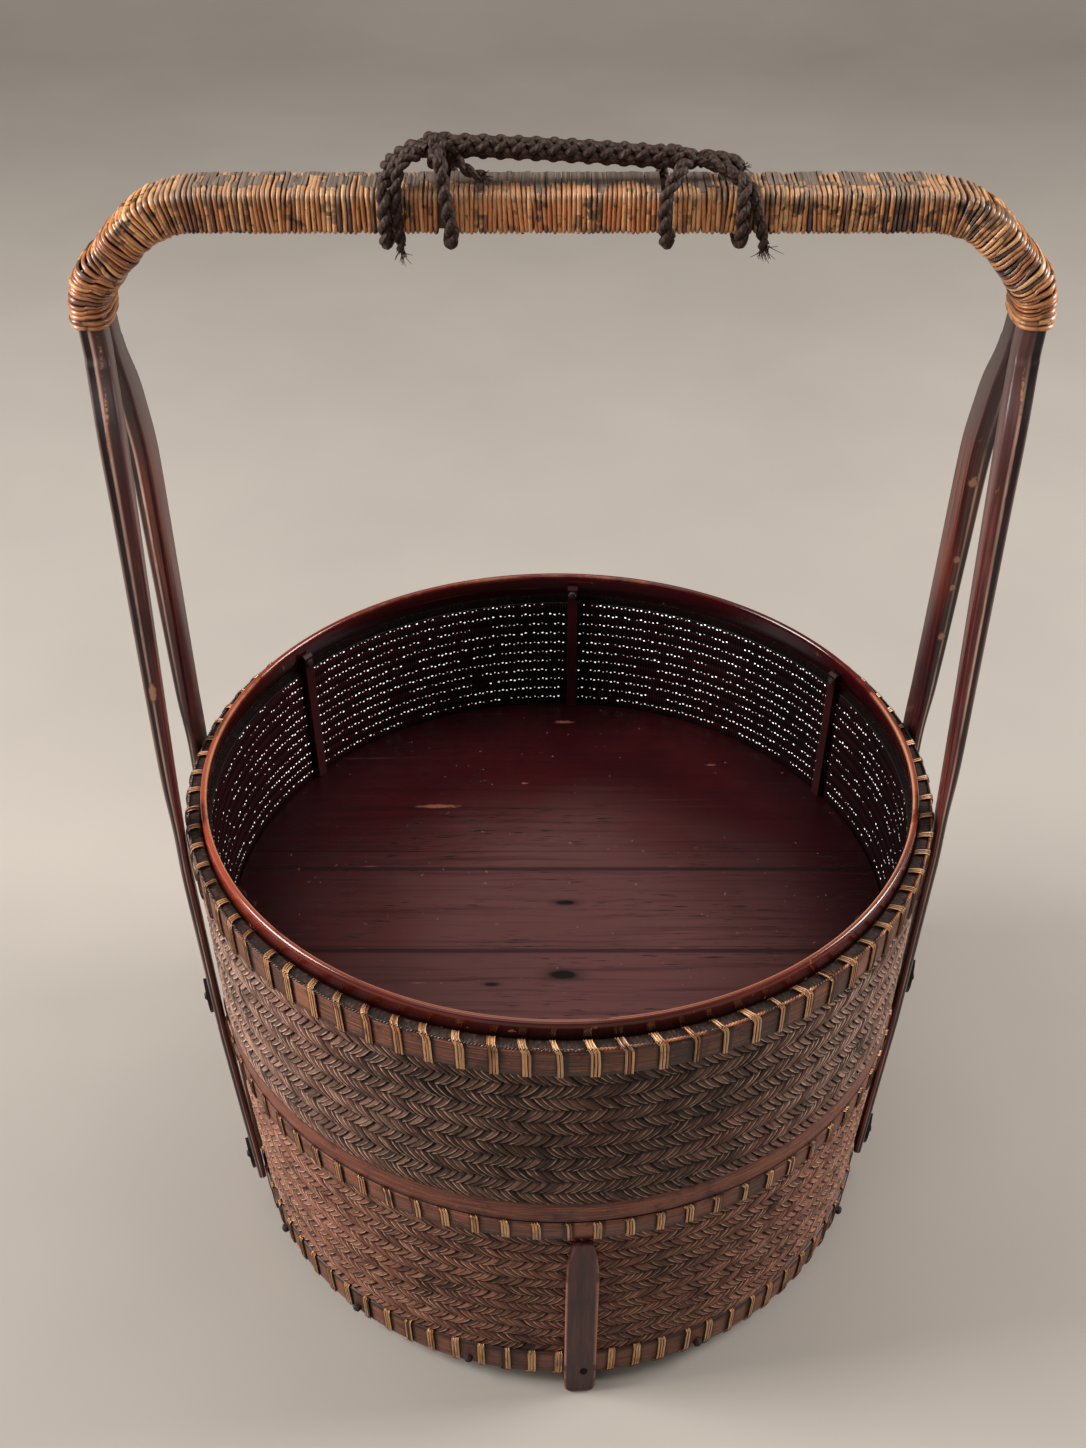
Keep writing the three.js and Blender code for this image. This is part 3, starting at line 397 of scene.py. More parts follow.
def woven_look(name, dark, middle, light, pale, side_light_gain):
    """Split bamboo strands, each with its own tone, streaked lengthwise.

    They carry a painted highlight along the lapping edge and tips, painted shade where they tuck
    under, and painted side light at the basket's sides, by the factor given last.
    """
    m = Look(name, 0.5, Specular_IOR_Level=0.22)
    tone, along, across = m.strand()
    m.body = m.ramp(tone, [(0.0, dark), (0.45, middle), (0.95, light)])
    streak = m.grain((along * 0.1, across * 3.4, tone * 90), 3, 0.6)
    m.tint(m.step(streak, 0.55, 0.3), m.mix(0.5, m.body, dark))
    m.lay(light, 0.5, streak, 0.58, 0.8)
    patch = m.cloud(24, 3, 0.6)
    m.lay(dark, 0.3, patch, 0.5, 0.75)
    wet = m.cloud(13, 2)
    m.lay(m.mix(0.5, middle, (118, 62, 48)), 0.35, wet, 0.52, 0.68)
    # Painted highlight: a pale line along each strand's lapping edge and tip, broken in places.
    edge = m.step(across, 0.42, 0.66) * m.step(across, 1.0, 0.86)
    tip = m.step(m.field("mark"), 0.84, 0.94) * m.step(across, -0.5, 0.0)
    pale_edge = m.math("MAXIMUM", edge, tip * 0.7) * m.step(m.cloud(90, 3, 0.7), 0.38, 0.62)
    m.tint(pale_edge * 0.74, pale)
    # Painted shade: darker where each strand tucks under its neighbours.
    under = m.math("MAXIMUM", m.step(across, -0.1, -0.8), m.step(m.field("mark"), 0.34, 0.05))
    m.tint(under * 0.88, m.mix(0.5, dark, (10, 6, 5)))
    # Painted side light: brighter towards the basket's sides, by the factor given last.
    side_light = m.step(abs(m.parts()[0]), 0.06, 0.17)
    m.tint(side_light, m.vector(side_light_gain, side_light_gain * 1.07, side_light_gain * 1.13), "MULTIPLY")
    rough = streak * 0.25 + 0.36
    return m.finish(rough, streak, 0.3, 0.0004)


def strip_look(name, base, dark, light, roughness=0.42):
    """Flat bamboo strip with lengthwise grain, each panel in its own tone, with painted shade where
    marked: by the ties and along the strip's edges.
    """
    m = Look(name, roughness, Coat_Weight=0.04, Coat_Roughness=0.3, Specular_IOR_Level=0.28)
    tone, along, across = m.strand()
    grain = m.grain((along * 0.035, across * 1.5, tone * 5), 5, 0.62, 0.4)
    m.body = m.ramp(grain, [(0.28, dark), (0.5, base), (0.72, light)])
    m.lay(dark, 0.6, tone, 0.35, 0.0)
    m.lay(light, 0.4, tone, 0.7, 1.0)
    spot = m.cloud(70, 3, 0.65)
    m.lay(dark, 0.65, spot, 0.56, 0.7)
    scratch = m.grain((along * 0.22, across * 1.1, 5.0), 3, 0.6)
    m.lay((178, 102, 62), 0.75, scratch, 0.62, 0.69)
    crack = m.grain((along * 0.007, across * 1.7, 9.0), 3, 0.6)
    m.lay(dark, 0.7, crack, 0.6, 0.66)
    # Painted shade where the mesh's mark is set: by the ties and along the strip's edges.
    m.tint(m.field("mark") * 0.86, m.mix(0.5, dark, (14, 8, 7)))
    rough = spot * 0.35 + (roughness - 0.15)
    return m.finish(rough, grain, 0.3, 0.0005)


def tie_look(name, dark, tan, pale):
    """Cane ties, golden to dark, with pale edges and painted shade in the dark lines between the
    strands.
    """
    m = Look(name, 0.38, Coat_Weight=0.15, Coat_Roughness=0.25)
    tone, along, across = m.strand()
    m.body = m.ramp(tone, [(0.0, dark), (0.2, tan), (0.85, pale)])
    fine = m.grain((along * 0.25, across * 2.0, tone * 60), 4, 0.65)
    m.tint(m.step(fine, 0.56, 0.32), m.mix(0.55, m.body, dark))
    rim = abs(across)
    line = m.step(rim, 0.3, 0.55) * m.step(rim, 0.85, 0.7) * m.step(tone, 0.12, 0.4)
    m.tint(line * 0.85, m.mix(0.55, pale, (255, 232, 190)))
    # Painted shade: dark lines between the strands.
    m.lay(dark, 0.95, rim, 0.76, 0.93)
    grime = m.cloud(75, 3, 0.6)
    m.lay(dark, 0.55, grime, 0.54, 0.7)
    return m.finish(fine * 0.3 + 0.25, fine, 0.3, 0.0003)


def cap_look():
    """The dark top of a rim, hatched finely across."""
    m = Look("dark rim cap", 0.55, Specular_IOR_Level=0.3)
    along, across = m.field("along"), m.field("across")
    hatch = m.grain((along * 1.1, across * 0.25, 0.0), 3, 0.6)
    cloud = m.cloud(40, 3, 0.6)
    m.body = m.ramp(hatch, [(0.35, (22, 14, 11)), (0.55, (54, 36, 28)), (0.75, (104, 74, 54))])
    m.lay((22, 15, 12), 0.6, cloud, 0.5, 0.65)
    return m.finish(None, hatch, 0.5, 0.0005)


DARK_WEAVE = woven_look(
    "smoked bamboo weave", (26, 16, 13), (84, 56, 45), (124, 90, 76), (186, 150, 126), 1.72
)
RED_WEAVE = woven_look(
    "red-brown bamboo weave", (32, 17, 12), (106, 65, 50), (146, 96, 76), (196, 150, 120), 1.42
)
RIM_STRIP = strip_look("smoked rim strip", (94, 54, 41), (34, 18, 14), (156, 96, 66))
MIDDLE_STRIP = strip_look("brown rim strip", (104, 59, 44), (40, 22, 17), (160, 98, 66))
HOOP_STRIP = strip_look("plain hoop", (100, 51, 37), (36, 16, 11), (160, 92, 62), 0.36)
TIES = tie_look("cane ties", (52, 27, 16), (190, 114, 64), (244, 182, 122))
GOLD_TIES = tie_look("golden cane ties", (58, 30, 17), (184, 112, 60), (240, 178, 112))
RIM_CAP = cap_look()


def backing_look():
    """What is seen between strands: nearly black."""
    m = Look("dark backing", 0.8)
    fine = m.cloud(90)
    m.body = m.ramp(fine, [(0.3, (14, 8, 6)), (0.7, (36, 24, 19))])
    return m.finish(None, fine, 0.3, 0.0004)


BACKING = backing_look()


def lip_look():
    """Glossy red-brown lacquer, worn to pale wood at the inner edge of its top, black below, with
    painted light on its left side and painted shade towards the back.
    """
    m = Look(
        "red lacquer lip", 0.24, Coat_Weight=0.3, Coat_Roughness=0.1, Specular_IOR_Level=0.3
    )
    x, y, z = m.parts()
    mark, inner = m.field("mark"), m.field("tone")
    cloud = m.cloud(9, 4, 0.6)
    m.body = m.ramp(cloud, [(0.3, (52, 12, 9)), (0.52, (86, 24, 16)), (0.72, (126, 44, 25))])
    # Painted light: lighter on the left side.
    left = m.step(y * 0.5 - x, 0.03, 0.17)
    m.tint(left * 0.55, (150, 58, 36))
    # Painted shade: darker towards the back.
    m.lay((44, 10, 9), 0.5, y, 0.06, 0.16)
    m.tint(inner * 0.9, (40, 2, 6))
    low = m.step(z, 0.2915, 0.2835)
    m.tint(low * 0.9, (18, 3, 3))
    streak = m.grain((m.field("along") * 0.02, z * 420, 0.0), 4, 0.6)
    m.lay((150, 74, 46), 0.25, streak, 0.6, 0.75)
    wear = m.cloud(34, 5, 0.7)
    front = m.step(y, 0.12, 0.0)
    pale_edge = mark * m.step(wear + front * 0.16, 0.46, 0.62)
    m.tint(pale_edge * (front * 0.75 + 0.25) * 0.85, (204, 140, 104))
    chip = m.step(m.cloud(130, 3, 0.7), 0.67, 0.72) * (0.8 - inner * 0.6)
    m.tint(chip, (160, 96, 62))
    rough = wear * 0.2 + 0.08
    return m.finish(rough, m.cloud(60), 0.1, 0.0005)


LIP = lip_look()


def dark_lacquer_look(name, base, light):
    """Thin dark lacquer, streaked along the grain."""
    m = Look(name, 0.5, Specular_IOR_Level=0.14)
    cloud = m.cloud(22, 4, 0.6)
    m.body = m.ramp(cloud, [(0.3, base), (0.75, light)])
    x, y, z = m.parts()
    streak = m.grain((x * 260, y * 260, z * 12))
    m.lay(light, 0.5, streak, 0.5, 0.75)
    return m.finish(cloud * 0.3 + 0.35, streak, 0.15, 0.0004)


RIB_LACQUER = dark_lacquer_look("rib lacquer", (20, 3, 4), (52, 8, 9))
LEDGE_LACQUER = dark_lacquer_look("ledge lacquer", (24, 4, 5), (46, 9, 10))


LINING_STRAND = 1.65
LINING_ROW = 6.75
LINING_BAND = (LIP_Z - 19.6, LIP_Z - 17.2)


def lining_look():
    """Near-black maroon openwork wall: fine rows of small strands, with painted shade between the
    rows and strands and painted light towards the left.
    """
    m = Look("openwork lining", 0.6, Specular_IOR_Level=0.08)
    x, _, z = m.parts()
    along, across = m.field("along"), m.field("across")
    cloud = m.cloud(14, 4, 0.6)
    m.body = m.ramp(cloud, [(0.35, (10, 1, 2)), (0.65, (32, 3, 6)), (0.85, (58, 6, 11))])
    # Painted light: lighter towards the left.
    m.lay((52, 9, 13), 0.5, x, 0.02, -0.16)
    strand = m.math("SINE", along * (TAU / LINING_STRAND))
    row = m.math("COSINE", across * (TAU / LINING_ROW))
    # Painted shade between the rows and between the strands.
    m.lay((3, 1, 1), 0.8, row, -0.2, 0.9)
    m.lay((5, 1, 2), 0.5, strand, 0.2, -0.9)
    band = m.step(z, LINING_BAND[0] / 1000, LINING_BAND[1] / 1000)
    m.tint(band * 0.95, (56, 6, 9))
    return m.finish(None, strand * 0.5 - row * 0.7, 0.6, 0.0006)


LINING = lining_look()


def light_point_look():
    """Glowing spots, painted light standing in for the pale room seen through the openwork's holes.
    """
    m = Look("light through the openwork", 0.6, Emission_Strength=1.0)
    stops = [(0.0, (150, 132, 128)), (0.5, (232, 226, 222)), (1.0, (250, 250, 250))]
    m.body = m.ramp(m.field("tone"), stops)
    # Painted light: the spots glow in their own colour.
    m.put(m.shader.inputs["Emission Color"], m.body)
    return m.finish()


LIGHT_POINTS = light_point_look()


# Marks on the floor, in metres: the joints' y; and x, y, half length and half width of each mark
FLOOR_JOINTS = (0.0215, -0.0455)
FLOOR_KNOTS = [
    (0.004, -0.007, 0.0062, 0.0021),
    (0.002, -0.064, 0.0085, 0.0036),
    (-0.036, -0.071, 0.004, 0.0014),
]
FLOOR_RUBS = [
    (-0.072, 0.078, 0.016, 0.0022),
    (0.005, 0.162, 0.007, 0.0018),
    (0.095, 0.118, 0.004, 0.001),
    (-0.02, 0.1, 0.003, 0.001),
    (-0.075, -0.07, 0.006, 0.0006),
]


def floor_look():
    """Maroon stained planks, with a painted sheen that greys the middle and front, painted shade by
    the wall, knots, rubbed spots, and a painted highlight along each joint's edge.
    """
    m = Look("maroon floor planks", 0.36, Specular_IOR_Level=0.24)
    x, y, _ = m.parts()
    bend = m.grain((x * 5, y * 9, 0.0), 2)
    warped = y + bend * 0.012
    grain = m.grain((x * 6, warped * 240, 0.0), 5, 0.65)
    cloud = m.cloud(8, 4, 0.6)
    m.body = m.ramp(cloud, [(0.3, (34, 2, 5)), (0.52, (50, 6, 9)), (0.74, (72, 16, 17))])
    # Painted sheen: greyer over the middle and front, where the floor mirrors the light.
    from_sheen_middle = m.distance(x * math.sqrt(0.9), y + 0.05)
    painted_sheen = m.step(from_sheen_middle + cloud * 0.1, 0.215, 0.105)
    m.tint(painted_sheen * 0.66, (100, 64, 61))
    # Painted shade: darker near the wall.
    shade_by_wall = m.step(m.distance(x, y), 0.13, 0.186)
    m.tint(shade_by_wall * 0.78, (20, 1, 3))
    m.lay((28, 8, 10), 0.5, grain, 0.52, 0.3)
    m.lay((116, 56, 50), 0.35, grain, 0.6, 0.8)
    pores = m.grain((x * 55, warped * 900, 0.0), 2, 0.5)
    zone = m.grain((x * 7, y * 26, 3.0), 2)
    pore = m.step(pores, 0.59, 0.66) * m.step(zone, 0.42, 0.56)
    m.tint(pore * 0.9, (16, 6, 8))
    for joint in FLOOR_JOINTS:
        near = abs(y - joint)
        m.lay((14, 3, 5), 0.7, near, 0.0026, 0.0006)
        # Painted highlight: a broken pale line along each joint's edge.
        pale = abs(y - (joint + 0.0022))
        broken = m.step(m.grain((x * 22, 0.0, joint), 3, 0.7), 0.58, 0.68)
        m.tint(m.step(pale, 0.0007, 0.0003) * broken * 0.4, (140, 92, 78))
    for knot_x, knot_y, wide, deep in FLOOR_KNOTS:
        far = m.distance((x - knot_x) / wide, (y - knot_y) / deep) + m.cloud(300, 2) * 0.7
        m.lay((22, 6, 8), 0.5, far, 2.6, 0.9)
        m.tint(m.step(far, 1.5, 0.9), (7, 3, 4))
    for spot_x, spot_y, wide, deep in FLOOR_RUBS:
        far = m.distance((x - spot_x) / wide, (y - spot_y) / deep) + m.cloud(420) * 1.2
        m.lay((146, 88, 68), 0.7, far, 1.6, 0.9)
    speck = m.cloud(260, 2, 0.5)
    m.lay((140, 92, 78), 0.6, speck, 0.735, 0.77)
    rough = grain * 0.2 + 0.22 + painted_sheen * 0.12
    return m.finish(rough, grain - pore, 0.2, 0.0006)


FLOOR = floor_look()


# Chips in the legs' lacquer, in metres: x, y, z, half sizes in x, y and z, and then how ragged
LEG_CHIPS = [
    (-0.1992, -0.035, 0.372, 0.0021, 0.028, 0.0062, 1.4),
    (-0.206, -0.03, 0.537, 0.0013, 0.028, 0.013, 5),
    (-0.2052, -0.03, 0.508, 0.0012, 0.028, 0.02, 5),
    (0.2025, 0.0207, 0.452, 0.0026, 0.004, 0.0036, 2),
    (0.2015, 0.0247, 0.405, 0.002, 0.004, 0.0026, 2),
    (0.2022, 0.0262, 0.387, 0.0018, 0.004, 0.0024, 2),
    (0.2012, 0.029, 0.355, 0.0022, 0.004, 0.003, 2),
    (0.2068, -0.03, 0.522, 0.0012, 0.028, 0.012, 4),
    (-0.206, 0.03, 0.534, 0.0012, 0.028, 0.011, 4),
]


def leg_look():
    """Maroon lacquer over bamboo, streaked and glossy, rubbed pale on its edges with a painted
    highlight there too, and chipped. Painted shade and a painted glow on the back legs, a painted
    reflection high up.
    """
    m = Look("leg lacquer", 0.25, Coat_Weight=0.3, Coat_Roughness=0.3, Specular_IOR_Level=0.35)
    x, y, z = m.parts()
    tone, along, across = m.strand()
    streak = m.grain((along * 0.012, across * 1.2, tone * 9), 4, 0.6)
    m.body = m.ramp(streak, [(0.3, (30, 6, 7)), (0.5, (78, 25, 23)), (0.72, (138, 72, 62))])
    # Painted shade: the back legs are darker.
    behind = m.step(y, -0.004, 0.006)
    m.tint(behind * 0.76, (40, 6, 8))
    # Painted reflection: greyer high up.
    high = m.step(z, 0.44, 0.53)
    m.tint(high * 0.55, (82, 66, 62))
    m.tint(m.field("turn") * 0.86, (20, 12, 13))
    cloud = m.cloud(16)
    m.lay((22, 12, 13), 0.6, cloud, 0.52, 0.72)
    # Painted glow of light on the back legs, about halfway up.
    glow = m.step(abs(z - 0.425), 0.075, 0.02) * behind
    m.tint(glow * m.step(streak, 0.42, 0.6) * 0.6, (134, 58, 36))
    # The pale edges are partly rubbed wear and partly a painted highlight.
    pale_edge = m.field("mark") * m.step(m.grain((along * 0.03, across, 2.0), 4, 0.7), 0.3, 0.5)
    m.tint(pale_edge * 0.92, (224, 176, 158))
    ragged = m.cloud(460, 4, 0.8)
    for chip_x, chip_y, chip_z, wide, deep, tall, rag in LEG_CHIPS:
        dx, dy, dz = (x - chip_x) / wide, (y - chip_y) / deep, (z - chip_z) / tall
        far = dx * dx + dy * dy + dz * dz + ragged * rag - 0.36 * rag
        m.lay((116, 70, 48), 0.6, far, 1.5, 1.1)
        m.lay((204, 146, 106), 0.72, far, 1.0, 0.7)
    fleck = m.grain((along * 0.1, across * 0.5, 7.0), 3, 0.6)
    m.lay((150, 92, 68), 0.5, fleck, 0.69, 0.75)
    rough = cloud * 0.3 + 0.22
    return m.finish(rough, streak, 0.2, 0.0006)


LEG = leg_look()


# The front slat's middle, the y that only it lies in front of, and its hole, in metres
SLAT_X = 0.01126
SLAT_FRONT_Y = -0.15
HOLE_X = 0.0133
HOLE_Z = 0.0206


def slat_look():
    """Dark purple-brown bamboo foot slats, pinkish and bare along the front one's edges, with its
    hole painted black as shade.
    """
    m = Look("foot slat", 0.42, Coat_Weight=0.05, Coat_Roughness=0.25, Specular_IOR_Level=0.25)
    x, y, z = m.parts()
    grain = m.grain((x * 420, y * 420, z * 14), 5, 0.6, 0.3)
    m.body = m.ramp(grain, [(0.3, (40, 16, 16)), (0.5, (66, 33, 30)), (0.75, (94, 52, 45))])
    cloud = m.cloud(36, 3, 0.6)
    m.lay((34, 20, 19), 0.5, cloud, 0.52, 0.7)
    edge = m.step(abs(x - SLAT_X), 0.0066, 0.0082) * (y < SLAT_FRONT_Y)
    m.tint(edge * m.step(m.grain((0.0, y, z * 60)), 0.36, 0.52) * 0.75, (158, 104, 88))
    scratch = m.grain((x * 700, y * 700, z * 50))
    m.lay((146, 112, 100), 0.5, scratch, 0.68, 0.74)
    # Painted shade: a black spot where the hole is; the hole isn't modelled.
    dark = m.step(m.distance(x - HOLE_X, (z - HOLE_Z) * 0.62), 0.0025, 0.0018)
    m.tint(dark, (1, 1, 1))
    foot = m.step(z, 0.0024, 0.0012) * (y < SLAT_FRONT_Y)
    m.tint(foot * 0.4, (132, 92, 78))
    rough = m.math("MAXIMUM", grain * 0.25 + 0.24, dark)
    return m.finish(rough, grain, 0.25, 0.0005)


SLAT = slat_look()


def cane_look():
    """Golden and orange-brown cane, blotched with black, and the darker strips on the bar's top,
    with painted shade between the turns and a painted highlight along the middle of each turn.
    """
    m = Look("cane winding", 0.3, Coat_Roughness=0.24)
    tone, along, across = m.strand()
    m.body = m.ramp(tone, [
        (0.0, (26, 15, 12)), (0.14, (58, 33, 23)), (0.32, (150, 88, 50)), (0.62, (208, 136, 78)),
        (1.0, (236, 180, 122)),
    ])
    fine = m.grain((along * 0.22, across * 1.6, tone * 80), 3, 0.6)
    m.lay((86, 46, 27), 0.55, fine, 0.52, 0.3)
    warm = m.cloud(18, 2)
    m.lay((150, 76, 38), 0.4, warm, 0.52, 0.7)
    centre = m.step(abs(m.parts()[0]), 0.075, 0.04)
    m.tint(centre * 0.34, (190, 94, 38))
    mottle = m.cloud(42, 4, 0.66)
    smoked = m.field("turn")
    m.lay((52, 33, 26), 0.7, mottle + smoked * 0.09, 0.6, 0.7)
    spot = m.cloud(125, 3, 0.6)
    m.lay((24, 13, 11), 0.85, spot + smoked * 0.08, 0.64, 0.69)
    stretch = m.grain((along * 0.07, tone * 900, 0.0), 3, 0.6)
    m.lay((58, 34, 25), 0.72, stretch + smoked * 0.07, 0.56, 0.64)
    dots = m.cloud(420, 1, 0.5)
    m.lay((18, 9, 8), 0.8, dots, 0.7, 0.75)
    # Painted shade: darker at each turn's edges, between the turns.
    m.lay((46, 24, 16), 0.75, abs(across), 0.68, 1.0)
    # Painted highlight along the middle of each turn.
    crown_highlight = m.step(abs(across), 0.26, 0.08) * m.step(fine, 0.42, 0.6)
    m.tint(crown_highlight * 0.3, (232, 186, 140))
    bark = m.grain((along * 0.5, across * 0.4, 2.0))
    dark = m.ramp(bark, [(0.35, (62, 49, 41)), (0.7, (132, 110, 92))])
    top_side = m.step(m.parts()[2], 0.6045, 0.6078) * m.step(abs(across), 0.8, 0.4)
    m.tint(top_side * 0.62, (150, 124, 96))
    is_strip = m.step(m.field("mark"), 0.35, 0.65)
    m.tint(is_strip, dark)
    m.put(m.shader.inputs["Coat Weight"], 0.25 - is_strip * 0.25)
    rough = mottle * 0.34 + 0.2 + m.math("MAXIMUM", is_strip, top_side) * 0.35
    return m.finish(rough, fine, 0.2, 0.0003)


CANE = cane_look()


def iron_look():
    """Blackened iron, rough, with a little rust."""
    m = Look("blackened iron", 0.55, Metallic=0.6)
    rust = m.cloud(180, 4, 0.65)
    m.body = m.ramp(rust, [(0.35, (16, 14, 14)), (0.62, (42, 36, 34)), (0.78, (78, 52, 38))])
    return m.finish(rust * 0.4 + 0.35, rust, 0.6, 0.0006)


IRON = iron_look()


def bar_look():
    """Bare dark wood inside the winding."""
    m = Look("dark wood core", 0.45)
    x, y, z = m.parts()
    grain = m.grain((x * 12, y * 200, z * 200), 4)
    m.body = m.ramp(grain, [(0.3, (38, 18, 16)), (0.7, (82, 44, 38))])
    return m.finish(None, grain, 0.2, 0.0005)


BAR = bar_look()


def rope_look():
    """Dark brown-grey twisted fibre, matt, with paler rubbed fibres and painted shade in the
    grooves.
    """
    m = Look("dark twisted cord", 0.6, Specular_IOR_Level=0.22)
    tone, along, across = m.strand()
    lay = m.math("SINE", along * 3.4 + across * 9.0)
    fibre = m.grain((along * 0.9, across * 7.0, tone * 30), 4, 0.7)
    m.body = m.ramp(fibre, [(0.3, (18, 10, 8)), (0.55, (62, 41, 32)), (0.85, (132, 99, 81))])
    # Painted shade in the grooves between the plies.
    m.lay((22, 15, 13), 0.4, lay, 0.1, -0.8)
    height = lay * 0.35 + fibre
    return m.finish(None, height, 0.7, 0.0006)


ROPE = rope_look()


def ground_look():
    """A pale matt floor."""
    m = Look("studio ground", 0.9)
    m.body = m.ramp(m.cloud(3), [(0.3, (152, 143, 134)), (0.7, (160, 151, 141))])
    return m.finish(None, m.cloud(260), 0.08, 0.0006)


GROUND = ground_look()


def dress(names, material):
    """Gives CAD nodes that keep their shape a material."""
    for name in names:
        mesh = nodes[name].data
        mesh.materials.clear()
        mesh.materials.append(material)


# Woven walls

STRAND_RUN = 7.1  # how far a strand runs sideways on its way through a course
STRAND_THICKNESS = 1.25
STRAND_OVERLAP = 0.555  # half a strand's width, as a share of the way to the next one
COURSE_SHIFT = 0.37  # how far each course is moved round, as a share of the same way
BACKING_INSET = 1.7

# How far through its course a strand has come, and how far out of the wall it lies there
STRAND_RISE = np.array([-0.16, 0.0, 0.16, 0.34, 0.55, 0.75, 0.9, 1.02, 1.12])
STRAND_TUCK = ([-0.16, 0.0, 0.2, 0.4, 0.8, 1.0, 1.12], [-1.5, -0.95, 0.05, 0.32, 0.36, 0.3, -0.1])
STRAND_SWELL = ([-0.16, 0.1, 0.6, 0.95, 1.12], [0.9, 1.0, 1.04, 0.96, 0.6])
# A strand's section: shares of its half width and of its thickness
STRAND_SECTION = np.array([
    (-1, -0.8), (-0.72, -0.36), (-0.3, -0.02), (0.25, 0.16), (0.66, 0.3), (0.88, 0.26), (1, -0.4),
])


def weave(name, radius, low, high, courses, count, material, body, slot, replaced):
    """Courses of slanting strands that lean one way and then the other, each lapping the next."""
    pitch = (high - low) / courses
    each = (count, 1, 1)  # one random number for each strand of a course
    rise = STRAND_RISE[None, :, None]
    tuck = np.interp(rise, *STRAND_TUCK)
    swell = np.interp(rise, *STRAND_SWELL)
    side = STRAND_SECTION[None, None, :, 0]
    lap = STRAND_THICKNESS * STRAND_SECTION[None, None, :, 1]
    parts = Patches()
    for course in range(courses):
        lean = 1 if course % 2 == 0 else -1
        top = high - course * pitch
        number = np.arange(count).reshape(each)
        spot = (number + rng.normal(0, 0.1, each) + COURSE_SHIFT * course) * TAU / count
        run = STRAND_RUN + rng.normal(0, 0.45, each)
        bow = 1.16 + rng.normal(0, 0.06, each)
        shift = np.sign(rise) * np.abs(rise) ** bow - 0.5
        half = STRAND_OVERLAP * TAU * radius(top) / count * swell
        half = half * (1 + rng.normal(0, 0.04, each))
        slide = lean * (run * shift - side * half)
        skew = 0.9 * side * np.clip(rise, 0, 1) ** 3
        z = top - pitch * rise + skew + rng.normal(0, 0.2, each)
        lift = tuck + lap + rng.normal(0, 0.1, each)
        angle = spot + slide / radius(top - pitch * 0.5)
        points = round_at(angle, radius(z) + lift, z)
        tone = 0.42 + 0.16 * rng.normal(0, 1, each) + 0.09 * np.sin(spot * 5 + course)
        parts.add(
            points[:, :, ::-lean],
            tone=np.clip(tone, 0.02, 0.97),
            along=rise * 11,
            across=side[..., ::-lean],
            mark=np.clip(rise, 0, 1),
        )
    parts.build(name, material, body, slot, replaced)
    back = [(radius(z) - BACKING_INSET, z) for z in np.linspace(low, high, 9)]
    turned_ring(f"{name}_backing", back, 144, BACKING, body, slot, replaced)


weave(
    "upper_weave", upper_radius, low=168.2, high=267.5, courses=11, count=296,
    material=DARK_WEAVE, body=UPPER, slot="weave_dark", replaced=["upper_wall"],
)
weave(
    "lower_weave", lower_radius, low=28.5, high=140.5, courses=14, count=260,
    material=RED_WEAVE, body=LOWER, slot="weave_red", replaced=["lower_wall"],
)


# Lips, linings and plain hoop

RING_SEGMENTS = 288


def lip_ring(name, radius, top, depth, body, replaced):
    """A turned lip, worn to pale wood at the inner side of its top."""
    t = LIP_THICKNESS
    # Each row: how far in from the outside, how far down from the top, worn, inner side
    section = [
        (0, depth, 0, 0), (0, 9, 0, 0), (0, 4, 0, 0), (0.05, 2.2, 0, 0), (0.3, 1.0, 0, 0),
        (0.9, 0.25, 0.05, 0), (0.45 * t, 0, 0.1, 0), (0.66 * t, 0.1, 0.25, 0),
        (0.8 * t, 0.35, 1, 0.1), (0.93 * t, 0.9, 1, 0.2), (t, 1.6, 0.2, 0.8),
        (t, 3.4, 0, 1), (t, 8, 0, 1), (t, depth, 0, 1), (0, depth, 0, 1),
    ]
    inset, drop, pale_edge, inner = np.array(section).T
    profile = np.stack([radius - inset, top - drop], -1)
    turned_ring(
        name, profile, RING_SEGMENTS, LIP, body, "lacquer_red", replaced, mark=pale_edge, tone=inner
    )


lip_ring("upper_lip_round", LIP_RADIUS, LIP_Z, LIP_DEPTH, UPPER, ["upper_lip"])
lip_ring("lower_lip_round", LOWER_LIP_RADIUS, LOWER_LIP_Z, LOWER_LIP_DEPTH, LOWER, ["lower_lip"])

LINING_INSET = 9.6
LINING_TOP_Z = LIP_Z - LIP_DEPTH - 0.3
LIGHT_ROWS = 11
LIGHT_ROW_PITCH = 6.85
LIGHT_COUNT = 450
RIB_ANGLES = (30, 87, 143, 210, 267, 323)
RIB_HALF_ANGLE = 0.02
LOWER_LINING_INSET = 6.4


def lining_radius(z):
    """Inside of the upper wall."""
    return upper_radius(z) - LINING_INSET


def lining():
    """The upper tier's inside wall, and the shelf that closes the gap between it and the lip."""
    levels = np.linspace(LINING_TOP_Z, FOOT_HOOP_TOP_Z + 0.3, 26)
    wall = [(lining_radius(z), z) for z in levels]
    shelf = [(LIP_RADIUS + 0.1, LINING_TOP_Z), (lining_radius(LINING_TOP_Z), LINING_TOP_Z)]
    where = (UPPER, "lacquer_dark", ["upper_wall"])
    turned_ring("openwork_lining", wall, RING_SEGMENTS, LINING, *where)
    turned_ring("lining_shelf", shelf, 96, BACKING, *where)


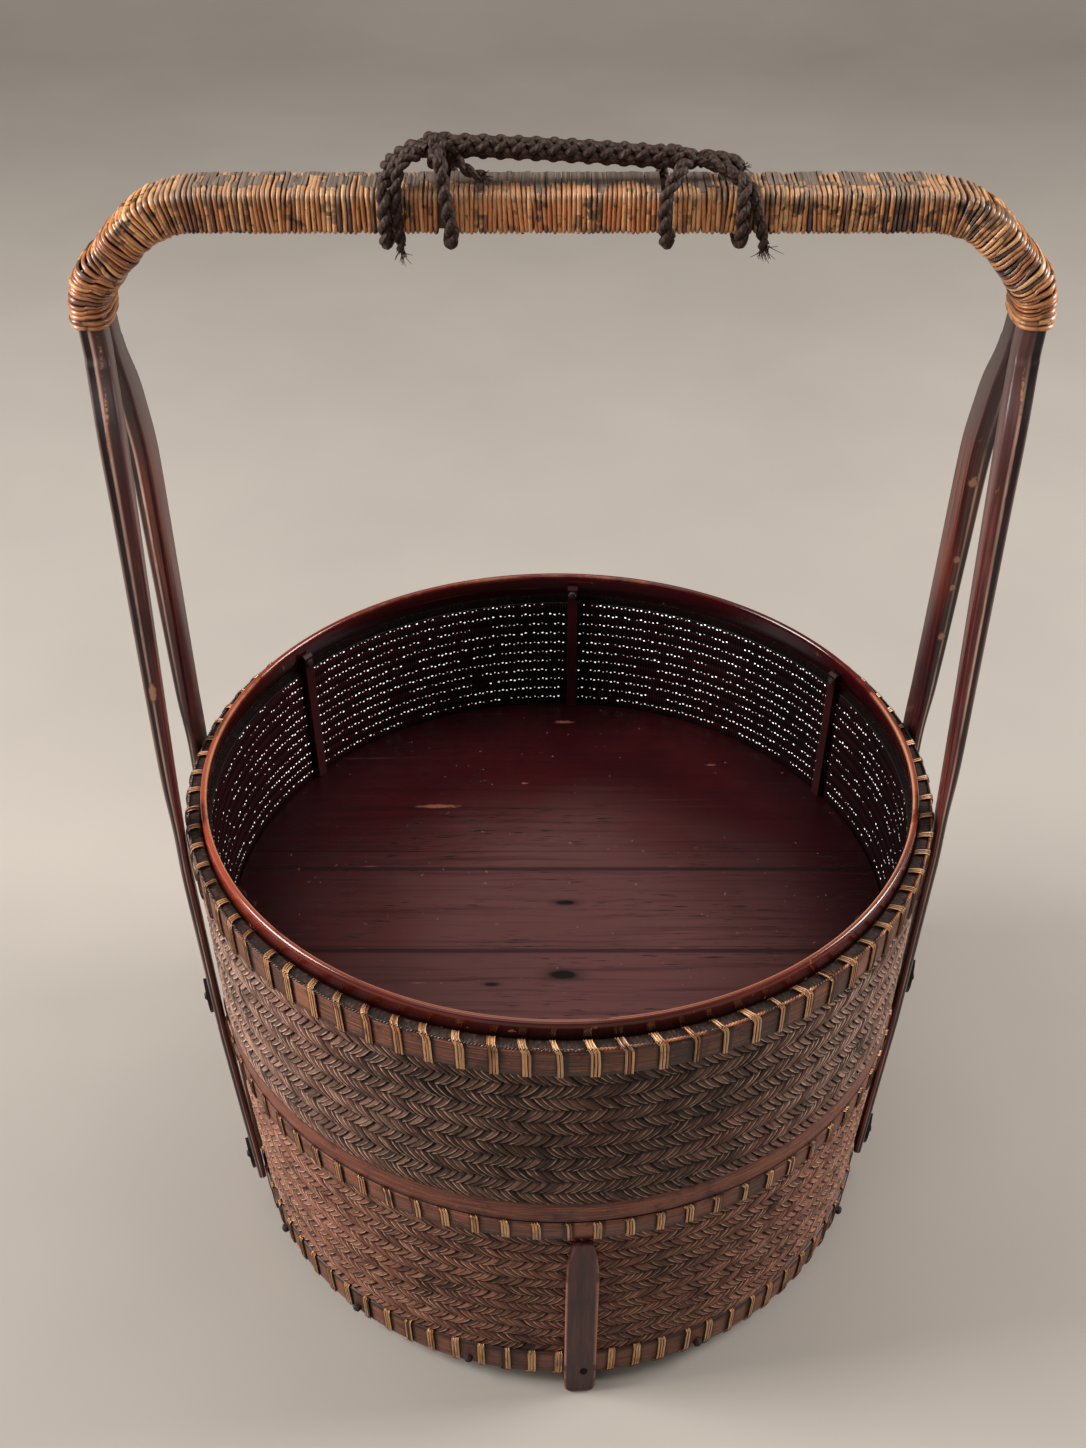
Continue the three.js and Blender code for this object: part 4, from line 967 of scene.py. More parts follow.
def light_points():
    """Rows of small glowing spots, painted light where the room would show through the holes, fewer
    at the sides.
    """
    spots, tones = [], []
    number = np.arange(LIGHT_COUNT)
    for row in range(LIGHT_ROWS):
        angle = number * TAU / LIGHT_COUNT + rng.normal(0, 0.0009, LIGHT_COUNT)
        zigzag = np.where(number % 2 == 0, 0.3, -0.3) + rng.normal(0, 0.1, LIGHT_COUNT)
        z = LIP_Z - 21.3 - LIGHT_ROW_PITCH * row + zigzag
        gaps = np.sin(angle * 5 + row * 2.3) + 0.9 * np.sin(angle * 17 + row * 4.1)
        gaps += 0.5 * np.sin(angle * 41 + row)
        right = np.maximum(np.cos(angle) - 0.82, 0) * 2.2
        left = np.maximum(-np.cos(angle) - 0.86, 0) * 3.2
        keep = gaps < 1.7 - 2.4 * (right + left)
        keep &= rng.random(LIGHT_COUNT) > 0.1 + 1.1 * (right + left)
        for rib in RIB_ANGLES:
            off = (angle - math.radians(rib) + np.pi) % TAU - np.pi
            keep &= np.abs(off) > RIB_HALF_ANGLE
        spots.append(np.stack([angle, z], -1)[keep])
        tones.append(rng.random(LIGHT_COUNT)[keep])
    angle, z = np.concatenate(spots).T
    tones = np.concatenate(tones)
    centre = round_at(angle, lining_radius(z) - 0.22, z)[:, None]
    along = along_circle(unit(centre * [1, 1, 0]))
    size = (0.36 + 0.26 * tones**1.5)[:, None, None]
    turn = np.linspace(0, TAU, 6, endpoint=False)[None, :, None]
    spot = centre + size * (1.15 * along * np.cos(turn) + 0.85 * UP * np.sin(turn))
    verts = spot.reshape(-1, 3)
    faces = [np.arange(len(verts)).reshape(-1, 6)]
    fields = {"tone": np.repeat(tones, 6)}
    where = (UPPER, "lacquer_dark", ["upper_wall"])
    piece("light_points", verts, faces, LIGHT_POINTS, *where, fields, smooth=False)


def lower_lining():
    """The lower tier's inside wall."""
    levels = np.linspace(152, 19.3, 12)
    wall = [(lower_radius(z) - LOWER_LINING_INSET, z) for z in levels]
    turned_ring("lower_lining", wall, 192, LEDGE_LACQUER, LOWER, "weave_red", ["lower_wall"])


def foot_hoop():
    """The plain hoop at the upper tier's foot: a rounded bamboo strip, with painted shade along
    both edges.
    """
    r, low, high = 191.4, UPPER_FOOT_Z, FOOT_HOOP_TOP_Z
    inside = r - 6.9
    profile = [
        (inside, low), (r - 1.0, low), (r - 0.3, low + 0.3), (r, low + 1.0), (r + 0.15, low + 4),
        (r + 0.25, low + 7.5), (r + 0.15, low + 11), (r, high - 1.0), (r - 0.35, high - 0.3),
        (r - 1.2, high), (inside, high), (inside, low),
    ]
    points, along, across = ring_points(profile, RING_SEGMENTS, 0.12)
    tone = 0.5 + 0.25 * np.sin(along / 90) + 0.15 * np.sin(along / 31)
    # Painted shade along both edges of the hoop, through the mark.
    edges = ([0, 2, 3, 4, 6, 7, 8, 11], [1, 1, 0.5, 0, 0, 0.55, 1, 1])
    mark = np.interp(np.arange(len(profile)), *edges)
    hoop = Patches().add(points, along=along, across=across, tone=tone, mark=mark)
    hoop.build("foot_hoop_round", HOOP_STRIP, UPPER, "plain_hoop", ["upper_foot_hoop"])


lining()
light_points()
lower_lining()
foot_hoop()


# Bound rims

PANEL_GRAIN = 12  # steps round the rim from one tie to the next
PANEL_OFFSET = 60  # how far each panel's grain is moved along from the last one's
TIE_STRANDS = 3
TIE_PITCH = 1.5
TIE_HALF_WIDTH = 0.66
TIE_SECTION = np.array([(-1, -0.35), (-0.7, 0.16), (0, 0.34), (0.7, 0.16), (1, -0.35)])
# Along a tie's route, by the number of the point: how close its strands are, and how far it sways
TIE_PINCH = np.array([0.62, 0.78, 0.94, 1, 1, 1, 1, 1, 1, 1, 1, 1])
TIE_SWEEP = ([0, 4.6, 6, 7, 9, 11], [0, 0, 0.5, 1.9, 3.6, 4.2])
BEAD_POINTS = 3200
BEAD_PITCH = 3.4


def tie_strands(route, ties, side):
    """Cane ties that go up the rim's face and over its edge, a few strands side by side."""
    steps = len(route)
    each = (ties, 1)
    middle = np.arange(ties).reshape(each) * TAU / ties + rng.normal(0, 0.0018, each)
    lean = 2 * rng.normal(0, 0.3, each) * np.linspace(-0.5, 0.5, steps)
    sway = 0.55 + 0.45 * rng.random(each)
    sweep = np.interp(np.arange(steps), *TIE_SWEEP)
    last = TIE_STRANDS - 1
    parts = Patches()
    for j in range(TIE_STRANDS):
        place = (j - last / 2) * TIE_PITCH + rng.normal(0, 0.07, each)
        keep = rng.random(ties) > (0.04 if j in (0, last) else 0.0)
        wave = rng.normal(0, 0.07, (ties, steps))
        slide = place * TIE_PINCH + lean + wave - (sway + 0.1 * j) * sweep
        angle = middle + slide / route[:, 0]
        centre = round_at(angle, route[:, 0], route[:, 1])[keep]
        tangent = unit(np.gradient(centre, axis=1))
        normal = unit(np.cross(tangent, along_circle(unit(centre * [1, 1, 0])))) * side
        across = unit(np.cross(normal, tangent))
        some = (keep.sum(), 1, 1)
        half = (TIE_HALF_WIDTH + rng.normal(0, 0.03, some))[..., None]
        tone = np.clip(0.6 + 0.27 * rng.normal(0, 1, some), 0, 1)
        share, rise = TIE_SECTION.T[:, :, None]
        points = centre[:, :, None] + across[:, :, None] * share * half
        points += normal[:, :, None] * rise
        parts.add(points, tone=tone, along=lengths(route)[:, None], across=TIE_SECTION[:, 0])
    return parts


def bead_strands(circle, z):
    """Two thin strands twisted round each other along the rim's edge, painted bright in dashes at
    the front right, where light falls.
    """
    angle = np.linspace(0, TAU, BEAD_POINTS)
    dashes = np.clip(0.5 + 0.9 * np.sin(angle * 61) * np.sin(angle * 23 + 1), 0, 1)
    # Painted light: the bead is brighter at the front right, where light falls.
    lit = np.clip(np.cos(angle - 1.74 * np.pi) * 2.6 - 1.75, 0, 1)
    tone, along = (0.3 * lit * dashes)[:, None], (angle * circle)[:, None]
    parts = Patches()
    for phase in (0, np.pi):
        turn = angle * circle / BEAD_PITCH * TAU + phase
        path = round_at(angle, circle + 0.42 * np.cos(turn), z + 0.42 * np.sin(turn))
        points = tube_points(path, 0.46, 5)
        parts.add(points, tone=tone, along=along, across=np.linspace(-0.6, 0.6, 6))
    return parts


def bound_rim(name, edge, height, inside, radius, side, ties, over, strip, cane, body, bead=False):
    """A bamboo strip round the wall, in panels between cane ties that go over its edge.

    The edge is the rim's free level, and side is 1 where it is the rim's top, -1 at its bottom.
    """
    def face(z):
        return (radius(edge) + 1.8) * radius(z) / radius(edge)

    free = edge - side * height
    half_way = (edge + free) / 2
    foot, brow = face(free), face(edge)
    strip_section = [
        (foot - 1.5, free), (foot - 0.5, free + side * 0.1), (foot, free + side * 0.7),
        (face(free + side * 4), free + side * 4), (face(half_way) + 0.1, half_way),
        (face(edge - side * 3), edge - side * 3), (brow - 0.1, edge - side * 0.8),
        (brow - 0.7, edge - side * 0.15),
    ][::side]
    cap_section = [
        (brow - 0.7, edge - side * 0.15), (brow - 1.8, edge), (inside + 1.5, edge),
        (inside, edge - side * 0.6), (inside, edge - side * 3),
    ][::side]
    route = np.array([
        (foot - 0.9, free - side * 0.7), (foot + 0.1, free - side * 0.75),
        (foot + 0.55, free + side * 0.1), (foot + 0.66, free + side * 1.6),
        (face(half_way) + 0.72, half_way), (face(edge - side * 3) + 0.68, edge - side * 2.6),
        (brow + 0.5, edge - side * 0.7), (brow - 0.3, edge + side * over * 0.6),
        (brow - 1.6, edge + side * over), (inside + 3.2, edge + side * over * 0.9),
        (inside + 1.0, edge + side * over * 0.5), (inside + 0.5, edge - side * 0.8),
    ])

    points, along, across = ring_points(strip_section, ties * PANEL_GRAIN, 0.08, 0.0)
    spot = np.arange(ties * PANEL_GRAIN + 1)[:, None] / PANEL_GRAIN
    panel = spot.astype(int) % ties
    tone = np.clip(0.5 + 0.24 * rng.normal(0, 1, ties), 0, 1)[panel]
    from_tie = np.abs(spot - np.round(spot)) * TAU / ties * radius(edge)
    # Painted shade by each tie and along the strip's free edge, through the mark.
    shade_by_tie = np.interp(from_tie, [1.6, 2.9, 3.9], [1.0, 1.0, 0.0])
    shade_at_foot = np.abs(np.array(strip_section)[:, 1] - free) < 0.9
    strips = Patches().add(
        points,
        along=along + PANEL_OFFSET * panel,
        across=across,
        tone=tone,
        mark=np.maximum(shade_by_tie, shade_at_foot),
    )
    points, along, across = ring_points(cap_section, ties * 4, 0.08, 0.0)
    cap = Patches().add(points, along=along, across=across)

    where = (body, "rim_binding", [name])
    strips.build(f"{name}_strip", strip, *where)
    cap.build(f"{name}_cap", RIM_CAP, *where)
    tie_strands(route, ties, side).build(f"{name}_ties", cane, *where)
    if bead:
        bead_strands(brow - 0.9, edge + side * 0.15).build(f"{name}_bead", cane, *where)


bound_rim(
    "upper_rim", edge=UPPER_RIM_Z, height=17.5, inside=190.3, radius=upper_radius, side=1,
    ties=80, over=1.5, strip=RIM_STRIP, cane=TIES, body=UPPER, bead=True,
)
bound_rim(
    "middle_rim", edge=MIDDLE_RIM_Z, height=14.0, inside=183.8, radius=lower_radius, side=1,
    ties=77, over=-0.35, strip=MIDDLE_STRIP, cane=TIES, body=LOWER,
)
bound_rim(
    "bottom_rim", edge=BASE_Z, height=20.0, inside=lower_radius(BASE_Z) - 17.4,
    radius=lower_radius, side=-1, ties=80, over=1.2, strip=MIDDLE_STRIP, cane=GOLD_TIES,
    body=LOWER,
)


# Legs

# Stations up a leg: height, half the pair's spread, distance from the axis, thickness, half width
LEG_STATIONS = np.array([
    (LEG_FOOT_Z, 43.0, lower_radius(LEG_FOOT_Z) + 3.1, 4.2, 9.0),
    (146.0, 39.0, 193.3, 4.4, 9.0),
    (265.8, 38.0, 199.4, 5.2, 9.0),
    (UPPER_RIM_Z, 38.0, 199.4, 5.2, 9.0),
    (320.3, 35.5, 199.6, 7.5, 9.0),
    (466.8, 26.0, 199.7, 10.5, 9.0),
    (501.8, 19.0, 200.6, 11.5, 9.0),
    (533.1, 8.3, 202.8, 11.5, 7.0),
    (WRAP_END_Z, 7.3, 203.85, 11.5, 7.0),
    (LEG_TOP_Z, 7.3, 203.85, 11.5, 7.0),
])
LEG_FOOT_TURN = math.radians(3)
LEG_STEP = 4.0
LEG_BLUR = 9.0
LEG_ENDS = 20.0  # this close to its ends a leg isn't smoothed
LEG_MEASURED = 40  # the level whose outline gives the lengths round the leg


def leg_outline(a, b):
    """Half a leg's thickness and half its width give its outline, with chamfered corners.

    Each row: how far out, how far sideways, how pale its edge is (rubbed wear and a painted
    highlight), the outer side.
    """
    c = min(1.5, 0.5 * a - 0.1)  # the chamfer
    e = 0.28  # how far its two corners are rounded
    line = 0.1 * a  # where the pale line on the narrow side runs
    half = [
        (a, b - c - e, 0.15, 1), (a - e * 0.7, b - c + e * 0.7, 0.2, 1),
        (a - c + e * 0.7, b - e * 0.7, 0.1, 1), (a - c - e, b - 0.3, 0, 1),
        (line + 0.2 * a, b - 0.1, 0, 1), (line + 0.1 * a, b - 0.04, 0.9, 0.6),
        (line, b, 1, 0), (line - 0.1 * a, b, 0.4, 0), (line - 0.18 * a, b - 0.02, 0, 0),
        (-a + c + e, b - 0.1, 0, 0), (-a + c - e * 0.7, b - e * 0.7, 0, 0),
        (-a + e * 0.7, b - c + e * 0.7, 0, 0), (-a, b - c - e, 0, 0),
    ]
    front = [(a, -b * 0.45, 0, 1), (a + 0.15, 0, 0, 1), (a, b * 0.45, 0, 1)]
    other_half = [(out, -sideways, pale_edge, outer) for out, sideways, pale_edge, outer in half[::-1]]
    return front + half + [(-a, 0, 0, 0)] + other_half + front[:1]


def make_leg(corner, side, face, seed):
    """One flat leg. The side is -1 at the left, and the face is -1 at the front."""
    own = np.random.default_rng(seed)
    levels = LEG_STATIONS[:, 0]
    z = np.unique(np.concatenate([np.arange(LEG_FOOT_Z, LEG_TOP_Z, LEG_STEP), levels]))
    # Each level takes the mean of the levels near it, so that the leg has no kinks
    inner = np.minimum(z - z[0], z[-1] - z) > LEG_ENDS
    near = np.exp(-0.5 * ((z[:, None] - z) / LEG_BLUR) ** 2) * inner[:, None] + np.diag(~inner)
    near /= near.sum(1, keepdims=True)
    spread, reach, thick, half_width = (
        near @ np.interp(z, levels, column) for column in LEG_STATIONS.T[1:]
    )
    angle = np.arcsin(spread / reach)
    turned = LEG_FOOT_TURN * np.maximum(0, WRAP_END_Z - z) / (WRAP_END_Z - LEG_FOOT_Z)
    turn = np.arctan2(face * np.sin(angle), side * np.cos(angle)) + turned
    out = round_at(turn, 1.0, 0.0)[:, None]
    centre = out * (reach + thick / 2)[:, None, None] + UP * z[:, None, None]
    outlines = np.array([leg_outline(t / 2, half) for t, half in zip(thick, half_width)])
    points = centre + out * outlines[..., :1] + along_circle(out) * outlines[..., 1:2]
    edge, outer = outlines[0, :, 2:].T

    ups = z[::9]
    # How pale the edge is up the leg: rubbed wear and a painted highlight.
    pale_edge = np.clip(0.6 + 0.6 * np.interp(z, ups, own.normal(0, 0.5, len(ups))), 0, 1)
    corners = np.arange(len(edge) - 1)
    body = Patches().add(
        points[None, ::-1],
        along=z[::-1, None],
        across=lengths(points[LEG_MEASURED]),
        mark=edge * pale_edge[::-1, None],
        tone=float(own.random()),
        turn=outer,
    )
    body.close(corners + (len(z) - 1) * len(edge), corners[::-1])
    body.build(f"leg_{corner}", LEG, LOWER, "leg", [f"handle_leg_{corner}"])


make_leg("front_left", -1, -1, seed=30)
make_leg("front_right", 1, -1, seed=31)
make_leg("back_left", -1, 1, seed=32)
make_leg("back_right", 1, 1, seed=33)


# Handle winding

LEG_LINE = 209.6
BEND_DROP = 36.5
BEND_INSET = 32.0
# Half the height and half the depth of the bar with its cane, at its ends and on its level part
UPRIGHT_HALVES = (9.25, 17.4)
LEVEL_HALVES = (9.8, 13.6)
HALVES_CHANGE = (5.5, 84.0)  # from one to the other over these distances from the end
LINE_POINTS = 3000
LINE_BLUR = 30  # points to each side whose directions are averaged


def handle_line():
    """The bar's middle line in x and z: distances along it, places and directions."""
    bend, level = BAR_Z - BEND_DROP, LEG_LINE - BEND_INSET
    left = [(-LEG_LINE, WRAP_END_Z), (-LEG_LINE, bend), (-level, BAR_Z)]
    corners = np.array(left + [(-x, z) for x, z in left[::-1]])
    slope = np.linalg.norm(corners[2] - corners[1])
    line = [corners[0]]
    for i, share in enumerate((0.2, 0.42, 0.42, 0.2), 1):
        before = corners[i] + unit(corners[i - 1] - corners[i]) * share * slope
        after = corners[i] + unit(corners[i + 1] - corners[i]) * share * slope
        t = np.linspace(0, 1, 30)[:, None]
        line.extend((1 - t) ** 2 * before + 2 * t * (1 - t) * corners[i] + t**2 * after)
    line = np.array(line + [corners[-1]])
    far = lengths(line)
    at = np.linspace(0, far[-1], LINE_POINTS)
    line = np.stack([np.interp(at, far, line[:, i]) for i in (0, 1)], -1)
    way = np.pad(unit(np.gradient(line, axis=0)), ((LINE_BLUR, LINE_BLUR), (0, 0)), "edge")
    mean = np.ones(2 * LINE_BLUR + 1) / (2 * LINE_BLUR + 1)
    return at, line, unit(np.stack([np.convolve(w, mean, "valid") for w in way.T], -1))


LINE_AT, LINE, LINE_WAY = handle_line()
LINE_LENGTH = LINE_AT[-1]
BAR_MIDDLE = LINE_LENGTH / 2


def from_ends(d):
    """How far a distance along the handle is from the nearer end."""
    return np.minimum(d, LINE_LENGTH - d)


def handle_half(d):
    """Half the height and half the depth at distances along the handle."""
    first, last = HALVES_CHANGE
    t = np.clip((from_ends(d) - first) / (last - first), 0, 1)
    level = t * t * (3 - 2 * t)
    return [a + (b - a) * level for a, b in zip(UPRIGHT_HALVES, LEVEL_HALVES)]


def section_shape(angle, power):
    """Depth and rise, from -1 to 1, round a rectangle: the higher the power, the squarer."""
    depth, up = np.cos(angle), -np.sin(angle)
    return [np.sign(side) * np.abs(side) ** (2 / power) for side in (depth, up)]


def section_angles(count):
    """Angles from the front's middle over the top and round, spaced evenly on the bar's shape."""
    angle = np.linspace(0, TAU, 2001) + np.pi
    depth, up = section_shape(angle, 6.5)
    far = lengths(np.stack([depth * 12, up * 10], -1))
    at = np.linspace(0, far[-1], count)
    return np.interp(at, far, angle)[None, :, None], at[None, :, None]


SECTION_ANGLE, SECTION_AT = section_angles(73)
# One turn of cane across its width: share across, rise
TURN_SECTION = np.array([
    (0.0, -0.85), (0.1, -0.36), (0.28, -0.04), (0.5, 0.08), (0.72, -0.04), (0.9, -0.36),
    (1.0, -0.85),
])
TURN_WIDTH = 2.08
END_TURN_WIDTH = 2.6
# Distances from the nearer end: where the bend starts, how long it is, the knee after it, and where
# the long strips start
BEND_START = 20.0
BEND_LENGTH = 64.0
KNEE_AT = 92.0
STRIPS_START = 82.0
MIDDLE_HALF = 62.0  # half the length between the rope loops, where the strips make zigzags
ZIGZAG_TURNS = 12
# The long strips woven over the bar's top, in lanes across it
STRIP_LANES = 8
STRIP_REPEAT = 9
STRIP_RUNS = np.array([3, 6, 5, 6])


def woven_over(k, depth, up, from_end, in_middle, own):
    """Where a turn passes under the long strips, so that they show on the bar's top."""
    lane = ((depth + 0.86) / 1.72 * STRIP_LANES).astype(int).clip(0, STRIP_LANES - 1)
    on_top = (up > 0.86) & (np.abs(depth) < 0.88) & (from_end > STRIPS_START)
    half = ZIGZAG_TURNS / 2
    slope = np.abs((k % ZIGZAG_TURNS) - half) / half
    zigzag = lane >= np.round(0.6 + 3.6 * slope + own.normal(0, 0.35, k.shape))
    pair = lane // 2
    start_at = own.integers(0, STRIP_REPEAT, STRIP_LANES)
    run = (k + start_at[pair] + (k // 23) * pair) % STRIP_REPEAT
    key = (run < STRIP_RUNS[pair]) & (lane > 0)
    return np.where(in_middle, zigzag, key) & on_top


def winding(name, start, end, replaced, seed):
    """Single turns of cane side by side round the bar, from one distance along it to another."""
    own = np.random.default_rng(seed)
    bounds = [start]
    while bounds[-1] < end - 1.3:
        width = END_TURN_WIDTH if from_ends(bounds[-1]) < 9 else TURN_WIDTH
        bounds.append(bounds[-1] + width * (1 + own.normal(0, 0.08)))
    bounds = np.array(bounds)[:, None, None]
    bounds = start + (bounds - start) * (end - start) / (bounds[-1] - start)
    turns = len(bounds) - 1
    each = (turns, 1, 1)
    middle = (bounds[:-1] + bounds[1:]) / 2
    from_end = from_ends(middle)
    bar = np.clip((from_end - BEND_START) / BEND_LENGTH, 0, 1)
    in_middle = np.abs(middle - BAR_MIDDLE) < MIDDLE_HALF
    knee = np.exp(-(((from_end - KNEE_AT) / 16) ** 2))
    depth, up = section_shape(SECTION_ANGLE, 3.2 + 3.3 * bar)

    # Along the bar: each turn leans, is crooked and wavy, more so on the bends
    around = SECTION_AT / SECTION_AT[0, -1] * TAU
    loose = 1 + 1.6 * (1 - bar)
    leans = own.normal(0, 1, 60)
    lean = 0.8 * np.interp(middle, np.linspace(0, LINE_LENGTH, 60), leans) * loose
    crooked = own.normal(0, 0.13, each) * loose
    wavy = own.normal(0, 0.16, each) * loose
    sway = np.sin(around) * (lean + crooked) + np.cos(around * 2 + seed) * wavy
    sway = sway * np.clip(np.minimum(middle - start, end - middle) / 6, 0, 1)
    share, rise = TURN_SECTION.T[:, None, None]
    d = np.clip(bounds[:-1] + np.diff(bounds, axis=0) * share + sway, start, end)

    # Away from the bar: the turns' own ridges, flattened under the long strips
    bulge = 0.7 * np.exp(-(((from_end - BEND_START) / 14) ** 2))
    raised = own.normal(0, 0.1, each) * loose + bulge
    raised = raised + 0.14 * np.sin(around * 3 + 1.7) * own.normal(0, 1, each)
    k = np.arange(turns).reshape(each)
    over = np.broadcast_to(woven_over(k, depth, up, from_end, in_middle, own), d.shape)
    ridge = np.where(from_end < 11, 1.35, 1.0) * rise
    grow = np.where(over, 0.3, ridge) + raised
    half_up, half_deep = handle_half(d)
    x, z = (np.interp(d, LINE_AT, column) for column in LINE.T)
    way_x, way_z = (np.interp(d, LINE_AT, column) for column in LINE_WAY.T)
    height = up * (half_up + grow)
    points = np.stack([x - way_z * height, depth * (half_deep + grow), z + way_x * height], -1)

    # Shades: lighter and darker stretches, and single burnt turns near the knees
    clusters = own.normal(0, 1, 70)
    cluster = np.interp(middle, np.linspace(0, LINE_LENGTH, 70), clusters)
    tone = np.clip(0.6 + 0.1 * cluster + 0.19 * own.normal(0, 1, each), 0.16, 1)
    burnt = (own.random(each) < 0.04 + 0.22 * knee) & ~in_middle
    tone = np.where(burnt, 0.08, tone)
    tone = np.where(in_middle, np.clip(tone + 0.08, 0.4, 1), tone * (0.86 + 0.14 * bar))
    turns_of_cane = Patches().add(
        points,
        tone=tone,
        along=np.where(over, d, SECTION_AT),
        across=share * 2 - 1,
        mark=over.astype(float),
        turn=np.clip(0.55 * cluster * ~in_middle + 0.7 * knee + 0.25, -0.6, 1),
    )
    turns_of_cane.build(name, CANE, LOWER, "cane", replaced)


# The bare places between the windings are where the inner rope loops sit
winding("cane_winding_left", 0.0, BAR_MIDDLE - 53.5, ["cane_wrap_left"], 41)
winding("cane_winding_middle", BAR_MIDDLE - 48.5, BAR_MIDDLE + 41.5, ["cane_wrap_middle"], 42)
winding("cane_winding_right", BAR_MIDDLE + 46.5, LINE_LENGTH, ["cane_wrap_right"], 43)


# Rope

GRIP_LEFT_Z = BAR_Z + 24
GRIP_RIGHT_Z = BAR_Z + 19
GRIP_PITCH = 30.0
GRIP_CARRIERS = 4  # strands of the plait that go round each way
CORD_STEP = 0.8
# Where a loop's middle line runs round the bar: depth, height and cut corners
LOOP_DEPTH = 16.6
LOOP_HEIGHT = 12.8
LOOP_CORNER = 4.55


def twisted(parts, corners, offset, radius, pitch, tone, phase=0.0):
    """A cord of two plies on a smooth path through the corners. Returns its end."""
    path = smooth_path(corners, CORD_STEP)
    far = lengths(path)[:, None]
    normal, binormal = path_frame(path)
    for ply in range(2):
        turn = far / pitch * TAU + phase + ply * np.pi
        line = path + offset * (normal * np.cos(turn) + binormal * np.sin(turn))
        points = tube_points(line, radius, 8)
        parts.add(points, tone=tone + 0.1 * ply, along=far, across=np.linspace(-1, 1, 9))
    return path[-1]


def fray(parts, tip, way, count, reach, spread, seed):
    """Single fibres that stand out from a cord's end."""
    own = np.random.default_rng(seed)
    way = unit(np.asarray(way, float))
    for _ in range(count):
        lean = unit(way + own.normal(0, spread, 3))
        bend = own.normal(0, 0.35, 3)
        length = reach * own.uniform(0.5, 1.1)
        t = np.linspace(0, 1, 6)[:, None]
        line = tip + own.normal(0, 0.8, 3) + lean * length * t + bend * length * 0.4 * t**2
        fibre = tube_points(line, 0.28 * (1 - 0.6 * t[:, 0]), 4)
        parts.add(fibre, tone=own.random() * 0.4, along=t * length)


def grip():
    """A round plait above the bar, a little higher at its left end."""
    corners = [
        (-60, 0.5, GRIP_LEFT_Z - 1.0), (-52, 0, GRIP_LEFT_Z + 0.8), (-20, -0.3, GRIP_LEFT_Z + 0.2),
        (10, 0.2, GRIP_LEFT_Z - 1.6), (38, 0, GRIP_RIGHT_Z + 1.6), (52, 0, GRIP_RIGHT_Z + 0.6),
        (60, 0.3, GRIP_RIGHT_Z - 0.6),
    ]
    path = smooth_path(corners, 0.55)
    far = lengths(path)[:, None]
    normal, binormal = path_frame(path)
    wave = np.cos(GRIP_CARRIERS * TAU * far / GRIP_PITCH)
    fade = np.clip(np.minimum(far, far[-1] - far) / 6, 0.55, 1)
    parts = Patches()
    for way in (1, -1):
        for i in range(GRIP_CARRIERS):
            turn = way * TAU * far / GRIP_PITCH + TAU * i / GRIP_CARRIERS
            reach = (2.85 + way * 0.75 * wave) * fade
            line = path + reach * (normal * np.cos(turn) + binormal * np.sin(turn))
            points = tube_points(line, 1.75 * fade[:, 0], 8)
            tone = 0.1 * i + 0.05 * way
            parts.add(points, tone=tone, along=far, across=np.linspace(-1, 1, 9))
    parts.build("rope_plait", ROPE, LOWER, "rope", ["rope_grip"])


def round_the_bar(x):
    """Corners from above the bar down its front, under it and up behind."""
    deep, tall, cut = LOOP_DEPTH, LOOP_HEIGHT, LOOP_CORNER
    half = [(deep - cut, tall), (deep, tall - cut), (deep, cut - tall), (deep - cut, -tall)]
    front = [(x, -y, BAR_Z + z) for y, z in half]
    behind = [(x, y, BAR_Z + z) for y, z in half[::-1]]
    return front + behind


def inner_loop(x, z, lean):
    """From the grip round the bar and back, each corner moved sideways by its lean."""
    first = [(x, -5.8, z), (x, -11.2, z)]
    last = [(x, 11.2, z), (x, 5.8, z)]
    corners = np.array(first + round_the_bar(x)[1:-1] + last)
    corners[:, 0] += lean
    return corners


def outer_loop(side, z):
    """From the grip's end outwards, round the bar and back."""
    first = [(side * 57.6, -3.3, z), (side * 63.0, -3.3, z)]
    last = [(side * 63.0, 3.3, z), (side * 57.6, 3.3, z)]
    return first + round_the_bar(side * 76.0) + last


